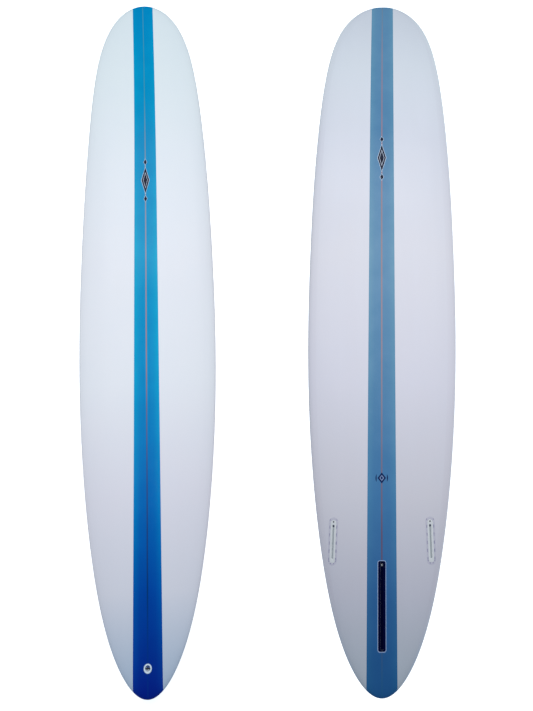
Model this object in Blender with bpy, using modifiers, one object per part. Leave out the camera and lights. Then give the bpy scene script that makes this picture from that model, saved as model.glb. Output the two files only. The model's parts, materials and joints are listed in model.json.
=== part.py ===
"""Longboard surfboard, 9 ft 2 in, with one long centre fin box and two side fin boxes.

Metres, +Z up. The board lies flat, deck up, nose towards +Y, and rests on the lowest part of its
bottom. The origin is on the centreline at half length, on the plane it rests on.

It is made the way a glassed board is made: two foam halves glued to a wooden stringer, a patch of
cloth on the deck, a bottom laminate, a deck laminate lapped round the rails, a tinted resin stripe
on each side, rice-paper decals, and fittings let into routed pockets.
"""

import math
from collections import namedtuple

import bmesh
import bpy
from mathutils import Matrix, Vector

# ---------------------------------------------------------------- hull dimensions (metres)
LENGTH = 2.794  # 9 ft 2 in
HALF = LENGTH / 2
WIDTH = 0.571  # 22 1/2 in
WIDE_POINT_Y = 0.127  # the wide point is ahead of half length
# How the outline narrows from the wide point: fullness, power, rounding at the tip
NOSE_OUTLINE = (0.270, 2.11, 8.55)
TAIL_OUTLINE = (0.614, 2.51, 14.1)
THICKNESS = 0.073  # 2 7/8 in at half length
NOSE_TIP_THICKNESS, TAIL_TIP_THICKNESS = 0.022, 0.026
FOIL_POWER = 2.4
NOSE_ROCKER, NOSE_ROCKER_POWER = 0.138, 2.40
TAIL_ROCKER, TAIL_ROCKER_POWER = 0.060, 2.10
FLAT_SPOT = 0.185  # no rocker for this far each side of half length
RAIL_HEIGHT = 0.45  # height of the rail's widest line, as a share of the thickness
DECK_CROWN, BOTTOM_ROLL = 2.6, 5.0  # superellipse powers across the deck and the bottom
TIP_ROUND = 120.0  # how quickly the thickness rounds off at the tips

# ---------------------------------------------------------------- layers
GAP = 0.0003  # clearance round let-in pieces
LAP_GAP = GAP * 1.5  # between the bottom laminate and the deck laminate's lap
LAYER_GAP = 0.00035  # between one layer and the next below it
STRIPE_WIDTH = 0.100
STRIPE_EDGE = STRIPE_WIDTH / 2 + GAP
STRIPE_MAX_SHARE = 0.72  # near the tips the stripe narrows to this share of the half width
STRIPE_DEPTH = 0.0004
STRIPE_RECESS = STRIPE_DEPTH + GAP
# Depths below the hull's outer surface
LAMINATE = 0.0012
PATCH_TOP = LAMINATE + LAYER_GAP
PATCH_UNDER = PATCH_TOP + 0.0004
FOAM_UNDER_PATCH = PATCH_UNDER + LAYER_GAP
FOAM_UNDER_LAMINATE = LAMINATE + LAYER_GAP
STRINGER_WIDTH = 0.0046
FOAM_INNER_X = STRINGER_WIDTH / 2 + GAP

DECALS = (  # name, on the deck, middle y, size across, size along
    ("deck_decal", True, 0.4690, 0.062, 0.225),
    ("bottom_decal", False, 0.5190, 0.062, 0.230),
    ("tail_decal", False, -0.7370, 0.046, 0.038),
)
DECAL_CORNER = 0.004
DECAL_TOOL_REACH = 0.03  # above and below the surface

# ---------------------------------------------------------------- centre fin box
CENTER_BOX_FRONT_Y, CENTER_BOX_REAR_Y = -0.9995, -1.2660
CENTER_BOX_WIDTH, CENTER_BOX_DEPTH, CENTER_BOX_CORNER = 0.0250, 0.0250, 0.0060
CENTER_SLOT_WIDTH, CENTER_SLOT_LENGTH, CENTER_SLOT_DEPTH = 0.0098, 0.2620, 0.0212
T_GROOVE_WIDTH, T_GROOVE_LENGTH = 0.0142, CENTER_SLOT_LENGTH - 0.002
T_GROOVE_TOP, T_GROOVE_UNDER, T_GROOVE_CORNER = 0.0090, 0.0130, 0.0010
CENTER_BEAD_WIDTH, CENTER_BEAD_DEPTH = 0.0022, 0.0030
PLATE_ACROSS, PLATE_ALONG, PLATE_THICK, PLATE_CORNER = 0.0128, 0.0090, 0.0030, 0.0012
PLATE_HOLE_DEPTH = 0.02
FIN_SCREW_Y = -1.0115
FIN_SCREW_R, FIN_SCREW_HEAD_R = 0.0021, 0.0037
HEAD_TOP_Z, HEAD_UNDER_Z, SCREW_TIP_Z = -0.0026, -0.0052, -0.0190
DRIVE_WIDTH, DRIVE_LENGTH, DRIVE_UNDER, DRIVE_CORNER = 0.0010, 0.0044, 0.0040, 0.0002

# ---------------------------------------------------------------- side fin boxes
SIDE_BOX_X, SIDE_BOX_Y, SIDE_BOX_TOE_DEG = 0.1675, -0.9378, 1.75
SIDE_BOX_WIDTH, SIDE_BOX_LENGTH, SIDE_BOX_DEPTH = 0.0190, 0.1340, 0.0190
SIDE_HALO_WIDTH, SIDE_HALO_LENGTH, SIDE_HALO_DEPTH = 0.0320, 0.1510, 0.0030
SIDE_SLOT_WIDTH, SIDE_SLOT_DEPTH = 0.0064, 0.0140
# Along the box, from its middle, forward positive
SIDE_SCREW_Y, SIDE_SLOT_FRONT_Y, SIDE_SLOT_REAR_Y = 0.0612, 0.0520, -0.0545
SIDE_RELIEF_R, SIDE_RELIEF_DEPTH = 0.0038, 0.0060
SIDE_SCREW_R, SIDE_SCREW_LENGTH, SIDE_SCREW_TOP = 0.0024, 0.0080, 0.0008
SIDE_THREAD_DEPTH = SIDE_SCREW_LENGTH + 0.0012
HEX_R, HEX_UNDER = 0.0014, 0.0036

# ---------------------------------------------------------------- leash plug
PLUG_Y = -1.313
PLUG_FLANGE_R, PLUG_FLANGE = 0.0133, 0.0020
PLUG_BODY_R, PLUG_DEPTH = 0.0120, 0.0180
PLUG_CUP_R, PLUG_CUP_DEPTH = 0.0088, 0.0140
PLUG_CUP_CHAMFER, PLUG_RIM_CHAMFER = 0.0008, 0.0006
PLUG_RESIN_R = 0.0152
PLUG_PIN_R, PLUG_PIN_DEPTH, PLUG_PIN_LENGTH = 0.0020, 0.0050, 0.0216

PROUD = 0.004  # how far cutters stand out of the surface

# ---------------------------------------------------------------- the hull's grid
# Stations run along the board, tail to nose. Columns run round each section: the deck's
# centreline, the stripe's edge, the deck shares, the rail, the bottom shares, the bottom stripe's
# edge and the bottom's centreline. A negative column is the same place on the left side.
STATION_STEP_DEG = 7.5
STATIONS_EACH_WAY = 11
STATIONS = [HALF * math.sin(math.radians(i * STATION_STEP_DEG))
            for i in range(-STATIONS_EACH_WAY, STATIONS_EACH_WAY + 1)]
LAST = len(STATIONS) - 1
# Shares of the way from the stripe's edge to the rail
LAP_SHARE = 0.86
DECK_SHARES = (0.25, 0.50, 0.72, 0.88, 0.965)
BOTTOM_SHARES = (0.965, LAP_SHARE, 0.72, 0.50, 0.25)

RAIL_COLUMN = 2 + len(DECK_SHARES)
LAP_COLUMN = RAIL_COLUMN + 1 + BOTTOM_SHARES.index(LAP_SHARE)
PATCH_COLUMN = RAIL_COLUMN - 2
EDGE_BOTTOM = RAIL_COLUMN + 1 + len(BOTTOM_SHARES)
CENTER_BOTTOM = EDGE_BOTTOM + 1
ALL_COLUMNS = range(CENTER_BOTTOM + 1)
RING_STATIONS = range(LAST + 1)
ALL_STATIONS = range(-1, LAST + 2)  # with a pole at each tip
PATCH_STATIONS = ALL_STATIONS[3:-3]

# ---------------------------------------------------------------- scene and helpers
for old in list(bpy.data.objects):
    bpy.data.objects.remove(old, do_unlink=True)

BOARD = bpy.data.collections.new("surfboard")
CUTTERS = bpy.data.collections.new("cutters")
bpy.context.scene.collection.children.link(BOARD)
bpy.context.scene.collection.children.link(CUTTERS)


def material(name, color, roughness, metallic=0.0, coat=0.0):
    mat = bpy.data.materials.new(name)
    mat.use_nodes = True
    shader = mat.node_tree.nodes["Principled BSDF"]
    shader.inputs["Base Color"].default_value = (*color, 1.0)
    shader.inputs["Roughness"].default_value = roughness
    shader.inputs["Metallic"].default_value = metallic
    shader.inputs["Coat Weight"].default_value = coat
    mat.diffuse_color = (*color, 1.0)
    return mat


def new_object(name, bm, mat=None, parent=None, smooth=40.0):
    """Turn bm into an object. One without a material is a cutter, hidden in renders."""
    bmesh.ops.recalc_face_normals(bm, faces=bm.faces)
    mesh = bpy.data.meshes.new(name)
    bm.to_mesh(mesh)
    bm.free()
    obj = bpy.data.objects.new(name, mesh)
    obj.parent = parent
    if mat is None:
        CUTTERS.objects.link(obj)
        obj.hide_render = True
        obj.display_type = "WIRE"
    else:
        BOARD.objects.link(obj)
        mesh.materials.append(mat)
    if smooth:
        mesh.shade_smooth()
        mesh.set_sharp_from_angle(angle=math.radians(smooth))
    return obj


def add_boolean(obj, name, operation, tool):
    step = obj.modifiers.new(name, "BOOLEAN")
    step.operation = operation
    step.solver = "EXACT"
    step.object = tool


def cut(obj, *tools):
    for tool in tools:
        add_boolean(obj, "cut_" + tool.name, "DIFFERENCE", tool)


def rounded_block(name, across, along, top, under, corner, steps, parent, mat=None, y=0.0):
    """A block with rounded upright edges, from z = top down to z = under in its parent's frame."""
    bm = bmesh.new()
    bmesh.ops.create_cube(bm, size=1.0)
    bmesh.ops.scale(bm, vec=(across, along, top - under), verts=bm.verts)
    upright = [e for e in bm.edges
               if abs(e.verts[0].co.z - e.verts[1].co.z) > 0.5 * (top - under)]
    # just under half the width, so that fully rounded ends keep their faces apart
    offset = min(corner, 0.499 * across, 0.499 * along)
    bmesh.ops.bevel(bm, geom=upright, offset=offset, segments=steps, profile=0.5, affect="EDGES")
    bmesh.ops.translate(bm, vec=(0, y, (top + under) / 2), verts=bm.verts)
    return new_object(name, bm, mat, parent)


# A rounded block whose top is flush with its frame
Block = namedtuple("Block", "across along depth corner steps")


def flush_block(name, block, parent, mat):
    return rounded_block(name, block.across, block.along, 0.0, -block.depth, block.corner,
                         block.steps, parent, mat)


def pocket_block(name, block, parent):
    """The cutter for a block's pocket: the block with a gap all round, open at the surface."""
    return rounded_block(name, block.across + 2 * GAP, block.along + 2 * GAP, PROUD,
                         -block.depth - GAP, block.corner + GAP, block.steps, parent)


def cylinder(name, radius, top, under, sides, parent, mat=None, y=0.0):
    bm = bmesh.new()
    bmesh.ops.create_cone(bm, cap_ends=True, segments=sides, radius1=radius, radius2=radius,
                          depth=top - under)
    bmesh.ops.translate(bm, vec=(0, y, (top + under) / 2), verts=bm.verts)
    return new_object(name, bm, mat, parent)


def turned(name, profile, sides, parent, mat):
    """A profile of (radius, height) points turned about the parent's Z axis."""
    bm = bmesh.new()
    verts = [bm.verts.new((radius, 0, z)) for radius, z in profile]
    for start, end in zip(verts, verts[1:]):
        bm.edges.new((start, end))
    obj = new_object(name, bm, mat, parent, smooth=0)
    spin = obj.modifiers.new("turn", "SCREW")
    spin.angle = math.tau
    spin.axis = "Z"
    spin.steps = spin.render_steps = sides
    spin.use_merge_vertices = True
    spin.merge_threshold = 0.00001
    spin.use_smooth_shade = True
    return obj


def frame_empty(name, matrix):
    empty = bpy.data.objects.new(name, None)
    empty.empty_display_size = 0.02
    empty.matrix_world = matrix
    BOARD.objects.link(empty)
    return empty


def child_frame(name, parent, y):
    """A frame at y along its parent's frame."""
    empty = frame_empty(name, Matrix.Identity(4))
    empty.parent = parent
    empty.location = (0, y, 0)
    return empty


# ---------------------------------------------------------------- the hull's shape
def half_width(y):
    if y >= WIDE_POINT_Y:
        share = (y - WIDE_POINT_Y) / (HALF - WIDE_POINT_Y)
        fullness, power, rounding = NOSE_OUTLINE
    else:
        share = (WIDE_POINT_Y - y) / (HALF + WIDE_POINT_Y)
        fullness, power, rounding = TAIL_OUTLINE
    share = min(max(share, 0.0), 1.0)
    return 0.5 * WIDTH * (1 - fullness * share**power) * math.sqrt(max(1 - share**rounding, 0.0))


def rocker(y):
    share = max(abs(y) - FLAT_SPOT, 0.0) / (HALF - FLAT_SPOT)
    if y > 0:
        return NOSE_ROCKER * share**NOSE_ROCKER_POWER
    return TAIL_ROCKER * share**TAIL_ROCKER_POWER


def foil(y):
    """Thickness at y, before the tips are rounded."""
    tip = NOSE_TIP_THICKNESS if y > 0 else TAIL_TIP_THICKNESS
    return tip + (THICKNESS - tip) * (1 - min(abs(y) / HALF, 1.0) ** FOIL_POWER)


def tip_rounding(y):
    return math.sqrt(max(1 - min(abs(y) / HALF, 1.0) ** TIP_ROUND, 0.0))


def rail_z(y):
    return rocker(y) + RAIL_HEIGHT * foil(y)


def surface(y, x, deck):
    """Height of the hull's outer surface at (x, y), on the deck or on the bottom."""
    half = half_width(y)
    out_share = min(abs(x) / half, 1.0) if half > 0 else 1.0
    part, power = (1 - RAIL_HEIGHT, DECK_CROWN) if deck else (RAIL_HEIGHT, BOTTOM_ROLL)
    offset = part * foil(y) * tip_rounding(y) * math.sqrt(max(1 - out_share**power, 0.0))
    return rail_z(y) + offset if deck else rail_z(y) - offset


def axes_matrix(side, ahead, out, origin):
    matrix = Matrix((side, ahead, out)).transposed().to_4x4()
    matrix.translation = origin
    return matrix


def surface_frame(x, y, deck, forward):
    """A frame on the hull: Z out of the board, Y as near to forward as the surface allows."""
    step = 0.002
    along = Vector((0, 2 * step, surface(y + step, x, deck) - surface(y - step, x, deck)))
    across = Vector((2 * step, 0, surface(y, x + step, deck) - surface(y, x - step, deck)))
    out = across.cross(along).normalized()
    if (out.z > 0) != deck:
        out.negate()
    ahead = (forward - out * forward.dot(out)).normalized()
    return axes_matrix(ahead.cross(out), ahead, out, Vector((x, y, surface(y, x, deck))))


# ---------------------------------------------------------------- points and cells of the grid
def grid_key(station, column):
    """Each pole has one name, and so has each centre column, which belongs to both sides."""
    if station < 0 or station > LAST:
        return (station, 0)
    return (station, abs(column) if abs(column) in (0, CENTER_BOTTOM) else column)


def hull_cells(stations, columns):
    """Triangles, as grid keys, of the cells between stations and columns, on both sides."""
    cells = []
    for s0, s1 in zip(stations, stations[1:]):
        for c0, c1 in zip(columns, columns[1:]):
            for side in (1, -1):
                near_0, far_0 = grid_key(s0, side * c0), grid_key(s1, side * c0)
                near_1, far_1 = grid_key(s0, side * c1), grid_key(s1, side * c1)
                for tri in ((near_0, far_0, far_1), (near_0, far_1, near_1)):
                    if len(set(tri)) == 3:
                        cells.append(tri if side > 0 else tri[::-1])
    return cells


def grid_point(y, column, nudge_x, nudge_y):
    side, place = (1 if column >= 0 else -1), abs(column)
    half = half_width(y)
    edge = min(STRIPE_EDGE, STRIPE_MAX_SHARE * half)
    if place in (0, CENTER_BOTTOM):
        x = 0.0
    elif place in (1, EDGE_BOTTOM):
        x = edge
    elif place == RAIL_COLUMN:
        x = half
    elif place < RAIL_COLUMN:
        x = edge + DECK_SHARES[place - 2] * (half - edge)
    else:
        x = edge + BOTTOM_SHARES[place - RAIL_COLUMN - 1] * (half - edge)
    x = max(x + nudge_x, 0.0)
    y += nudge_y
    return Vector((side * x, y, surface(y, x, place <= RAIL_COLUMN)))


def outer_point(key, nudge_x=0.0, nudge_y=0.0):
    station, column = key
    if station < 0 or station > LAST:
        tip = -HALF if station < 0 else HALF
        return Vector((0, tip, rail_z(tip)))
    return grid_point(STATIONS[station], column, nudge_x, nudge_y)


def hull_normals():
    """The outer surface's normal at every grid key."""
    bm = bmesh.new()
    verts = {}
    for tri in hull_cells(ALL_STATIONS, ALL_COLUMNS):
        for key in tri:
            if key not in verts:
                verts[key] = bm.verts.new(outer_point(key))
        bm.faces.new([verts[key] for key in tri])
    bmesh.ops.recalc_face_normals(bm, faces=bm.faces)
    bm.normal_update()
    normals = {key: vert.normal.copy() for key, vert in verts.items()}
    bm.free()
    return normals


NORMALS = hull_normals()


def sunk(key, depth, nudge_x=0.0, nudge_y=0.0):
    return outer_point(key, nudge_x, nudge_y) - depth * NORMALS[key]


def no_inset(_key):
    return 0.0, 0.0


def inset(columns, first, last, gap):
    """A nudge that draws the given columns, and the first and last stations, in by a gap."""
    def nudge(key):
        station, column = key
        x = -gap if abs(column) in columns else 0.0
        y = gap if station == first else -gap if station == last else 0.0
        return x, y
    return nudge


def sheet(name, cells, top, under, mat, nudge=no_inset, recessed=(), recess=0.0):
    """A closed skin over cells from depth top to depth under, its recessed cells sunk by recess."""
    bm = bmesh.new()
    made = {}

    def vert(key, depth):
        if (key, depth) not in made:
            made[key, depth] = bm.verts.new(sunk(key, depth, *nudge(key)))
        return made[key, depth]

    def wall(start, end, high, low):
        bm.faces.new([vert(end, high), vert(start, high), vert(start, low)])
        bm.faces.new([vert(end, high), vert(start, low), vert(end, low)])

    recessed = {frozenset(tri) for tri in recessed}
    edges = {}
    for tri in cells:
        level = recess if frozenset(tri) in recessed else top
        bm.faces.new([vert(key, level) for key in tri])
        bm.faces.new([vert(key, under) for key in reversed(tri)])
        for start, end in ((tri[0], tri[1]), (tri[1], tri[2]), (tri[2], tri[0])):
            edges.setdefault(frozenset((start, end)), []).append((start, end, level))
    # Walls close the sheet's border, and step down into the recess
    for uses in edges.values():
        start, end, level = uses[0]
        if len(uses) == 1:
            wall(start, end, level, under)
        elif level != uses[1][2]:
            wall(start, end, level, uses[1][2])
    return new_object(name, bm, mat, smooth=30.0)


# ---------------------------------------------------------------- materials
FOAM = material("foam", color=(0.86, 0.85, 0.78), roughness=0.85)
WOOD = material("stringer_wood", color=(0.52, 0.30, 0.20), roughness=0.6)
GLASS_DECK = material("deck_glass", color=(0.80, 0.87, 0.92), roughness=0.12, coat=1.0)
GLASS_BOTTOM = material("bottom_glass", color=(0.76, 0.79, 0.85), roughness=0.12, coat=1.0)
CLOTH = material("patch_cloth", color=(0.85, 0.88, 0.90), roughness=0.5)
TINT_DECK = material("deck_tint", color=(0.004, 0.22, 0.53), roughness=0.12, coat=1.0)
TINT_BOTTOM = material("bottom_tint", color=(0.10, 0.26, 0.44), roughness=0.15, coat=1.0)
PAPER = material("decal_paper", color=(0.03, 0.05, 0.10), roughness=0.5)
RESIN = material("clear_resin", color=(0.80, 0.84, 0.88), roughness=0.2, coat=0.5)
BLACK_PLASTIC = material("box_plastic", color=(0.004, 0.006, 0.022), roughness=0.45)
PALE_PLASTIC = material("side_box_plastic", color=(0.70, 0.74, 0.78), roughness=0.35)
WHITE_PLASTIC = material("plug_plastic", color=(0.82, 0.84, 0.86), roughness=0.3)
STEEL = material("stainless", color=(0.62, 0.62, 0.64), roughness=0.25, metallic=1.0)

# ---------------------------------------------------------------- frames of the fittings
CENTER_MID_Y = (CENTER_BOX_FRONT_Y + CENTER_BOX_REAR_Y) / 2
CENTER_FRONT_Z = surface(CENTER_BOX_FRONT_Y, 0, False)
CENTER_REAR_Z = surface(CENTER_BOX_REAR_Y, 0, False)
CENTER_CHORD = Vector((0, CENTER_BOX_FRONT_Y - CENTER_BOX_REAR_Y, CENTER_FRONT_Z - CENTER_REAR_Z))
CENTER_AHEAD = CENTER_CHORD.normalized()


def make_center_frame():
    """The box's rim is flat, so it is set halfway between the bottom's curve and its chord."""
    side = CENTER_AHEAD.cross(Vector((0, 0, -1))).normalized()
    chord_mid_z = (CENTER_FRONT_Z + CENTER_REAR_Z) / 2
    mid_z = (chord_mid_z + surface(CENTER_MID_Y, 0, False)) / 2
    matrix = axes_matrix(side, CENTER_AHEAD, side.cross(CENTER_AHEAD),
                         Vector((0, CENTER_MID_Y, mid_z)))
    return frame_empty("center_box_frame", matrix)


def make_side_frame(name, sign):
    """The side boxes are toed in: their front ends are nearer the centreline."""
    toe = math.radians(SIDE_BOX_TOE_DEG)
    forward = Vector((-sign * math.sin(toe), math.cos(toe), 0))
    return frame_empty(name + "_box_frame",
                       surface_frame(sign * SIDE_BOX_X, SIDE_BOX_Y, False, forward))


center_frame = make_center_frame()
side_frames = {name: make_side_frame(name, sign) for name, sign in (("left", -1), ("right", 1))}
plug_frame = frame_empty("leash_plug_frame", surface_frame(0.0, PLUG_Y, True, Vector((0, 1, 0))))

# ---------------------------------------------------------------- pockets
CENTER_BOX = Block(CENTER_BOX_WIDTH, CENTER_CHORD.length, CENTER_BOX_DEPTH, CENTER_BOX_CORNER, 5)
CENTER_BEAD = Block(CENTER_BOX.across + 2 * CENTER_BEAD_WIDTH,
                    CENTER_BOX.along + 2 * CENTER_BEAD_WIDTH, CENTER_BEAD_DEPTH,
                    CENTER_BOX.corner + CENTER_BEAD_WIDTH, 5)
SIDE_BOX = Block(SIDE_BOX_WIDTH, SIDE_BOX_LENGTH, SIDE_BOX_DEPTH, SIDE_BOX_WIDTH / 2, 8)
SIDE_HALO = Block(SIDE_HALO_WIDTH, SIDE_HALO_LENGTH, SIDE_HALO_DEPTH, SIDE_HALO_WIDTH / 2, 8)

# A mouth is the shallow, wider part of a pocket, for the resin round the fitting
center_mouth = pocket_block("center_mouth_cutter", CENTER_BEAD, center_frame)
center_pocket = pocket_block("center_pocket_cutter", CENTER_BOX, center_frame)
side_mouths, side_pockets = {}, {}
for name, frame in side_frames.items():
    side_mouths[name] = pocket_block(name + "_mouth_cutter", SIDE_HALO, frame)
    side_pockets[name] = pocket_block(name + "_pocket_cutter", SIDE_BOX, frame)
plug_mouth = cylinder("plug_mouth_cutter", PLUG_RESIN_R + GAP, PROUD, -PLUG_FLANGE - GAP,
                      sides=32, parent=plug_frame)
plug_pocket = cylinder("plug_pocket_cutter", PLUG_BODY_R + GAP, PROUD, -PLUG_DEPTH - GAP,
                       sides=32, parent=plug_frame)


# ---------------------------------------------------------------- laminates, stripes and decals
def stripe_ends(deck):
    """The stripe's first and last stations; on the bottom it stops short of the lap."""
    return (0, LAST) if deck else (1, LAST - 1)


def stripe_cells(deck):
    first, last = stripe_ends(deck)
    columns = (0, 1) if deck else (EDGE_BOTTOM, CENTER_BOTTOM)
    return hull_cells(range(first, last + 1), columns)


def stripe_sheet(name, deck, mat):
    """A sheet that fills the recess of the deck's or the bottom's laminate."""
    nudge = inset((1, EDGE_BOTTOM), *stripe_ends(deck), GAP)
    return sheet(name, stripe_cells(deck), 0.0, STRIPE_DEPTH, mat, nudge)


def make_deck_laminate():
    """It covers the deck, laps round the rails, and closes both tips."""
    cells = hull_cells(ALL_STATIONS, ALL_COLUMNS[:LAP_COLUMN + 1])
    for tip in ((-1, 0), (LAST, LAST + 1)):
        cells += hull_cells(tip, ALL_COLUMNS[LAP_COLUMN:])
    laminate = sheet("deck_laminate", cells, 0.0, LAMINATE, GLASS_DECK,
                     recessed=stripe_cells(True), recess=STRIPE_RECESS)
    cut(laminate, plug_mouth, *side_mouths.values())


def make_bottom_laminate():
    """It fills the bottom inside the lap line."""
    cells = hull_cells(RING_STATIONS, ALL_COLUMNS[LAP_COLUMN:])
    laminate = sheet("bottom_laminate", cells, 0.0, LAMINATE, GLASS_BOTTOM,
                     inset((LAP_COLUMN,), 0, LAST, LAP_GAP),
                     recessed=stripe_cells(False), recess=STRIPE_RECESS)
    cut(laminate, center_mouth, *side_mouths.values())


def make_decal(name, deck, y, across, along, stripe):
    """A sheet of rice paper let into a stripe, cut from the same surface."""
    decal = stripe_sheet(name, deck, PAPER)
    frame = frame_empty(name + "_frame", Matrix.Translation((0, y, surface(y, 0, deck))))
    outline, window = (
        rounded_block(name + suffix, across + 2 * gap, along + 2 * gap, DECAL_TOOL_REACH,
                      -DECAL_TOOL_REACH, DECAL_CORNER + gap, steps=3, parent=frame)
        for suffix, gap in (("_sheet_cutter", 0.0), ("_window_cutter", GAP))
    )
    add_boolean(decal, "keep", "INTERSECT", outline)
    cut(stripe, window)


make_deck_laminate()
make_bottom_laminate()
deck_stripe = stripe_sheet("deck_stripe", True, TINT_DECK)
bottom_stripe = stripe_sheet("bottom_stripe", False, TINT_BOTTOM)
cut(deck_stripe, plug_mouth)
cut(bottom_stripe, center_mouth)
for name, deck, y, across, along in DECALS:
    make_decal(name, deck, y, across, along, deck_stripe if deck else bottom_stripe)

# The deck patch is a layer of cloth under the deck laminate, short of the rails and the tips.
sheet("deck_patch", hull_cells(PATCH_STATIONS, ALL_COLUMNS[:PATCH_COLUMN + 1]),
      PATCH_TOP, PATCH_UNDER, CLOTH)


# ---------------------------------------------------------------- foam and stringer
def core_point(station, column):
    """The core's surface, lower under the deck patch than elsewhere."""
    under_patch = abs(column) <= PATCH_COLUMN and station in PATCH_STATIONS
    depth = FOAM_UNDER_PATCH if under_patch else FOAM_UNDER_LAMINATE
    return sunk(grid_key(station, column), depth)


def make_foam_half(name, side):
    """A loft of sections, from the glue line beside the stringer round the rail and back."""
    bm = bmesh.new()
    rings = []
    for station in RING_STATIONS:
        ring = []
        for column in ALL_COLUMNS:
            point = core_point(station, side * column)
            if column in (0, CENTER_BOTTOM):
                beside = core_point(station, side * (1 if column == 0 else EDGE_BOTTOM))
                point = point.lerp(beside, FOAM_INNER_X / abs(beside.x))
                point.x = side * FOAM_INNER_X
            ring.append(bm.verts.new(point))
        rings.append(ring)
    count = len(ALL_COLUMNS)
    for low, high in zip(rings, rings[1:]):
        for i in range(count):
            j = (i + 1) % count
            bm.faces.new((low[i], high[i], high[j]))
            bm.faces.new((low[i], high[j], low[j]))
    bm.faces.new(rings[0])
    bm.faces.new(rings[-1])
    return new_object(name, bm, FOAM, smooth=30.0)


def make_stringer():
    bm = bmesh.new()
    half = STRINGER_WIDTH / 2
    rings = []
    for station in RING_STATIONS:
        top, low = core_point(station, 0), core_point(station, CENTER_BOTTOM)
        corners = ((top, -half), (top, half), (low, half), (low, -half))
        rings.append([bm.verts.new((x, point.y, point.z)) for point, x in corners])
    for rear, front in zip(rings, rings[1:]):
        for i in range(4):
            j = (i + 1) % 4
            bm.faces.new((rear[i], front[i], front[j], rear[j]))
    bm.faces.new(rings[0])
    bm.faces.new(rings[-1])
    return new_object("stringer", bm, WOOD, smooth=30.0)


foam_halves = {name: make_foam_half("foam_blank_" + name, sign)
               for name, sign in (("left", -1), ("right", 1))}
for core in (*foam_halves.values(), make_stringer()):
    cut(core, plug_mouth, plug_pocket, center_mouth, center_pocket)
for name, half in foam_halves.items():
    cut(half, side_mouths[name], side_pockets[name])


# ---------------------------------------------------------------- centre fin box
def make_center_box():
    box = flush_block("center_fin_box", CENTER_BOX, center_frame, BLACK_PLASTIC)
    slot = rounded_block("center_slot_cutter", CENTER_SLOT_WIDTH, CENTER_SLOT_LENGTH, PROUD,
                         -CENTER_SLOT_DEPTH, CENTER_SLOT_WIDTH / 2, steps=6, parent=center_frame)
    groove = rounded_block("t_groove_cutter", T_GROOVE_WIDTH, T_GROOVE_LENGTH, -T_GROOVE_TOP,
                           -T_GROOVE_UNDER, T_GROOVE_CORNER, steps=1, parent=center_frame)
    cut(box, slot, groove)
    bead = flush_block("center_box_resin", CENTER_BEAD, center_frame, RESIN)
    cut(bead, center_pocket)


def make_fin_plate(frame):
    """The plate that sits in the T groove, with a hole for the fin screw."""
    mid = -(T_GROOVE_TOP + T_GROOVE_UNDER) / 2
    plate = rounded_block("fin_plate", PLATE_ACROSS, PLATE_ALONG, mid + PLATE_THICK / 2,
                          mid - PLATE_THICK / 2, PLATE_CORNER, steps=2, parent=frame, mat=STEEL)
    cut(plate, cylinder("plate_hole_cutter", FIN_SCREW_R + GAP, 0.0, -PLATE_HOLE_DEPTH,
                        sides=24, parent=frame))


def make_fin_screw(frame):
    """Pan head with a cross drive, shank and blunt cone point."""
    profile = (  # radius, height, from the top of the head down the outside
        (0.0, HEAD_TOP_Z),
        (0.0022, HEAD_TOP_Z - 0.0002),
        (FIN_SCREW_HEAD_R - 0.0005, HEAD_TOP_Z - 0.0009),
        (FIN_SCREW_HEAD_R, HEAD_TOP_Z - 0.0016),
        (FIN_SCREW_HEAD_R, HEAD_UNDER_Z),
        (FIN_SCREW_R, HEAD_UNDER_Z),
        (FIN_SCREW_R, SCREW_TIP_Z + 0.0012),
        (FIN_SCREW_R * 0.45, SCREW_TIP_Z),
        (0.0, SCREW_TIP_Z),
    )
    screw = turned("fin_screw", profile, sides=24, parent=frame, mat=STEEL)
    for i in range(2):
        drive = rounded_block("fin_screw_drive_cutter_%d" % i, DRIVE_WIDTH, DRIVE_LENGTH, 0.0,
                              -DRIVE_UNDER, DRIVE_CORNER, steps=1, parent=frame)
        drive.rotation_euler.z = math.radians(90 * i + 45)
        cut(screw, drive)


make_center_box()
# The plate and its screw both have their origin on the screw's axis.
screw_frame = child_frame("fin_screw_frame", center_frame,
                          (FIN_SCREW_Y - CENTER_MID_Y) / CENTER_AHEAD.y)
make_fin_plate(screw_frame)
make_fin_screw(screw_frame)


# ---------------------------------------------------------------- side fin boxes
def make_side_box(name, frame):
    box = flush_block(name + "_side_fin_box", SIDE_BOX, frame, PALE_PLASTIC)
    slot = rounded_block(name + "_slot_cutter", SIDE_SLOT_WIDTH,
                         SIDE_SLOT_FRONT_Y - SIDE_SLOT_REAR_Y, PROUD, -SIDE_SLOT_DEPTH,
                         SIDE_SLOT_WIDTH / 2, steps=5, parent=frame,
                         y=(SIDE_SLOT_FRONT_Y + SIDE_SLOT_REAR_Y) / 2)
    relief = cylinder(name + "_relief_cutter", SIDE_RELIEF_R, PROUD, -SIDE_RELIEF_DEPTH,
                      sides=24, parent=frame, y=SIDE_SLOT_FRONT_Y - SIDE_RELIEF_R)
    thread = cylinder(name + "_thread_cutter", SIDE_SCREW_R + GAP, PROUD, -SIDE_THREAD_DEPTH,
                      sides=24, parent=frame, y=SIDE_SCREW_Y)
    cut(box, slot, relief, thread)
    halo = flush_block(name + "_side_box_resin", SIDE_HALO, frame, RESIN)
    cut(halo, side_pockets[name])


def make_grub_screw(name, frame):
    seat = child_frame(name + "_grub_screw_frame", frame, SIDE_SCREW_Y)
    grub = cylinder(name + "_grub_screw", SIDE_SCREW_R, -SIDE_SCREW_TOP,
                    -SIDE_SCREW_TOP - SIDE_SCREW_LENGTH, sides=24, parent=seat, mat=STEEL)
    cut(grub, cylinder(name + "_hex_cutter", HEX_R, 0.0, -HEX_UNDER, sides=6, parent=seat))


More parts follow.
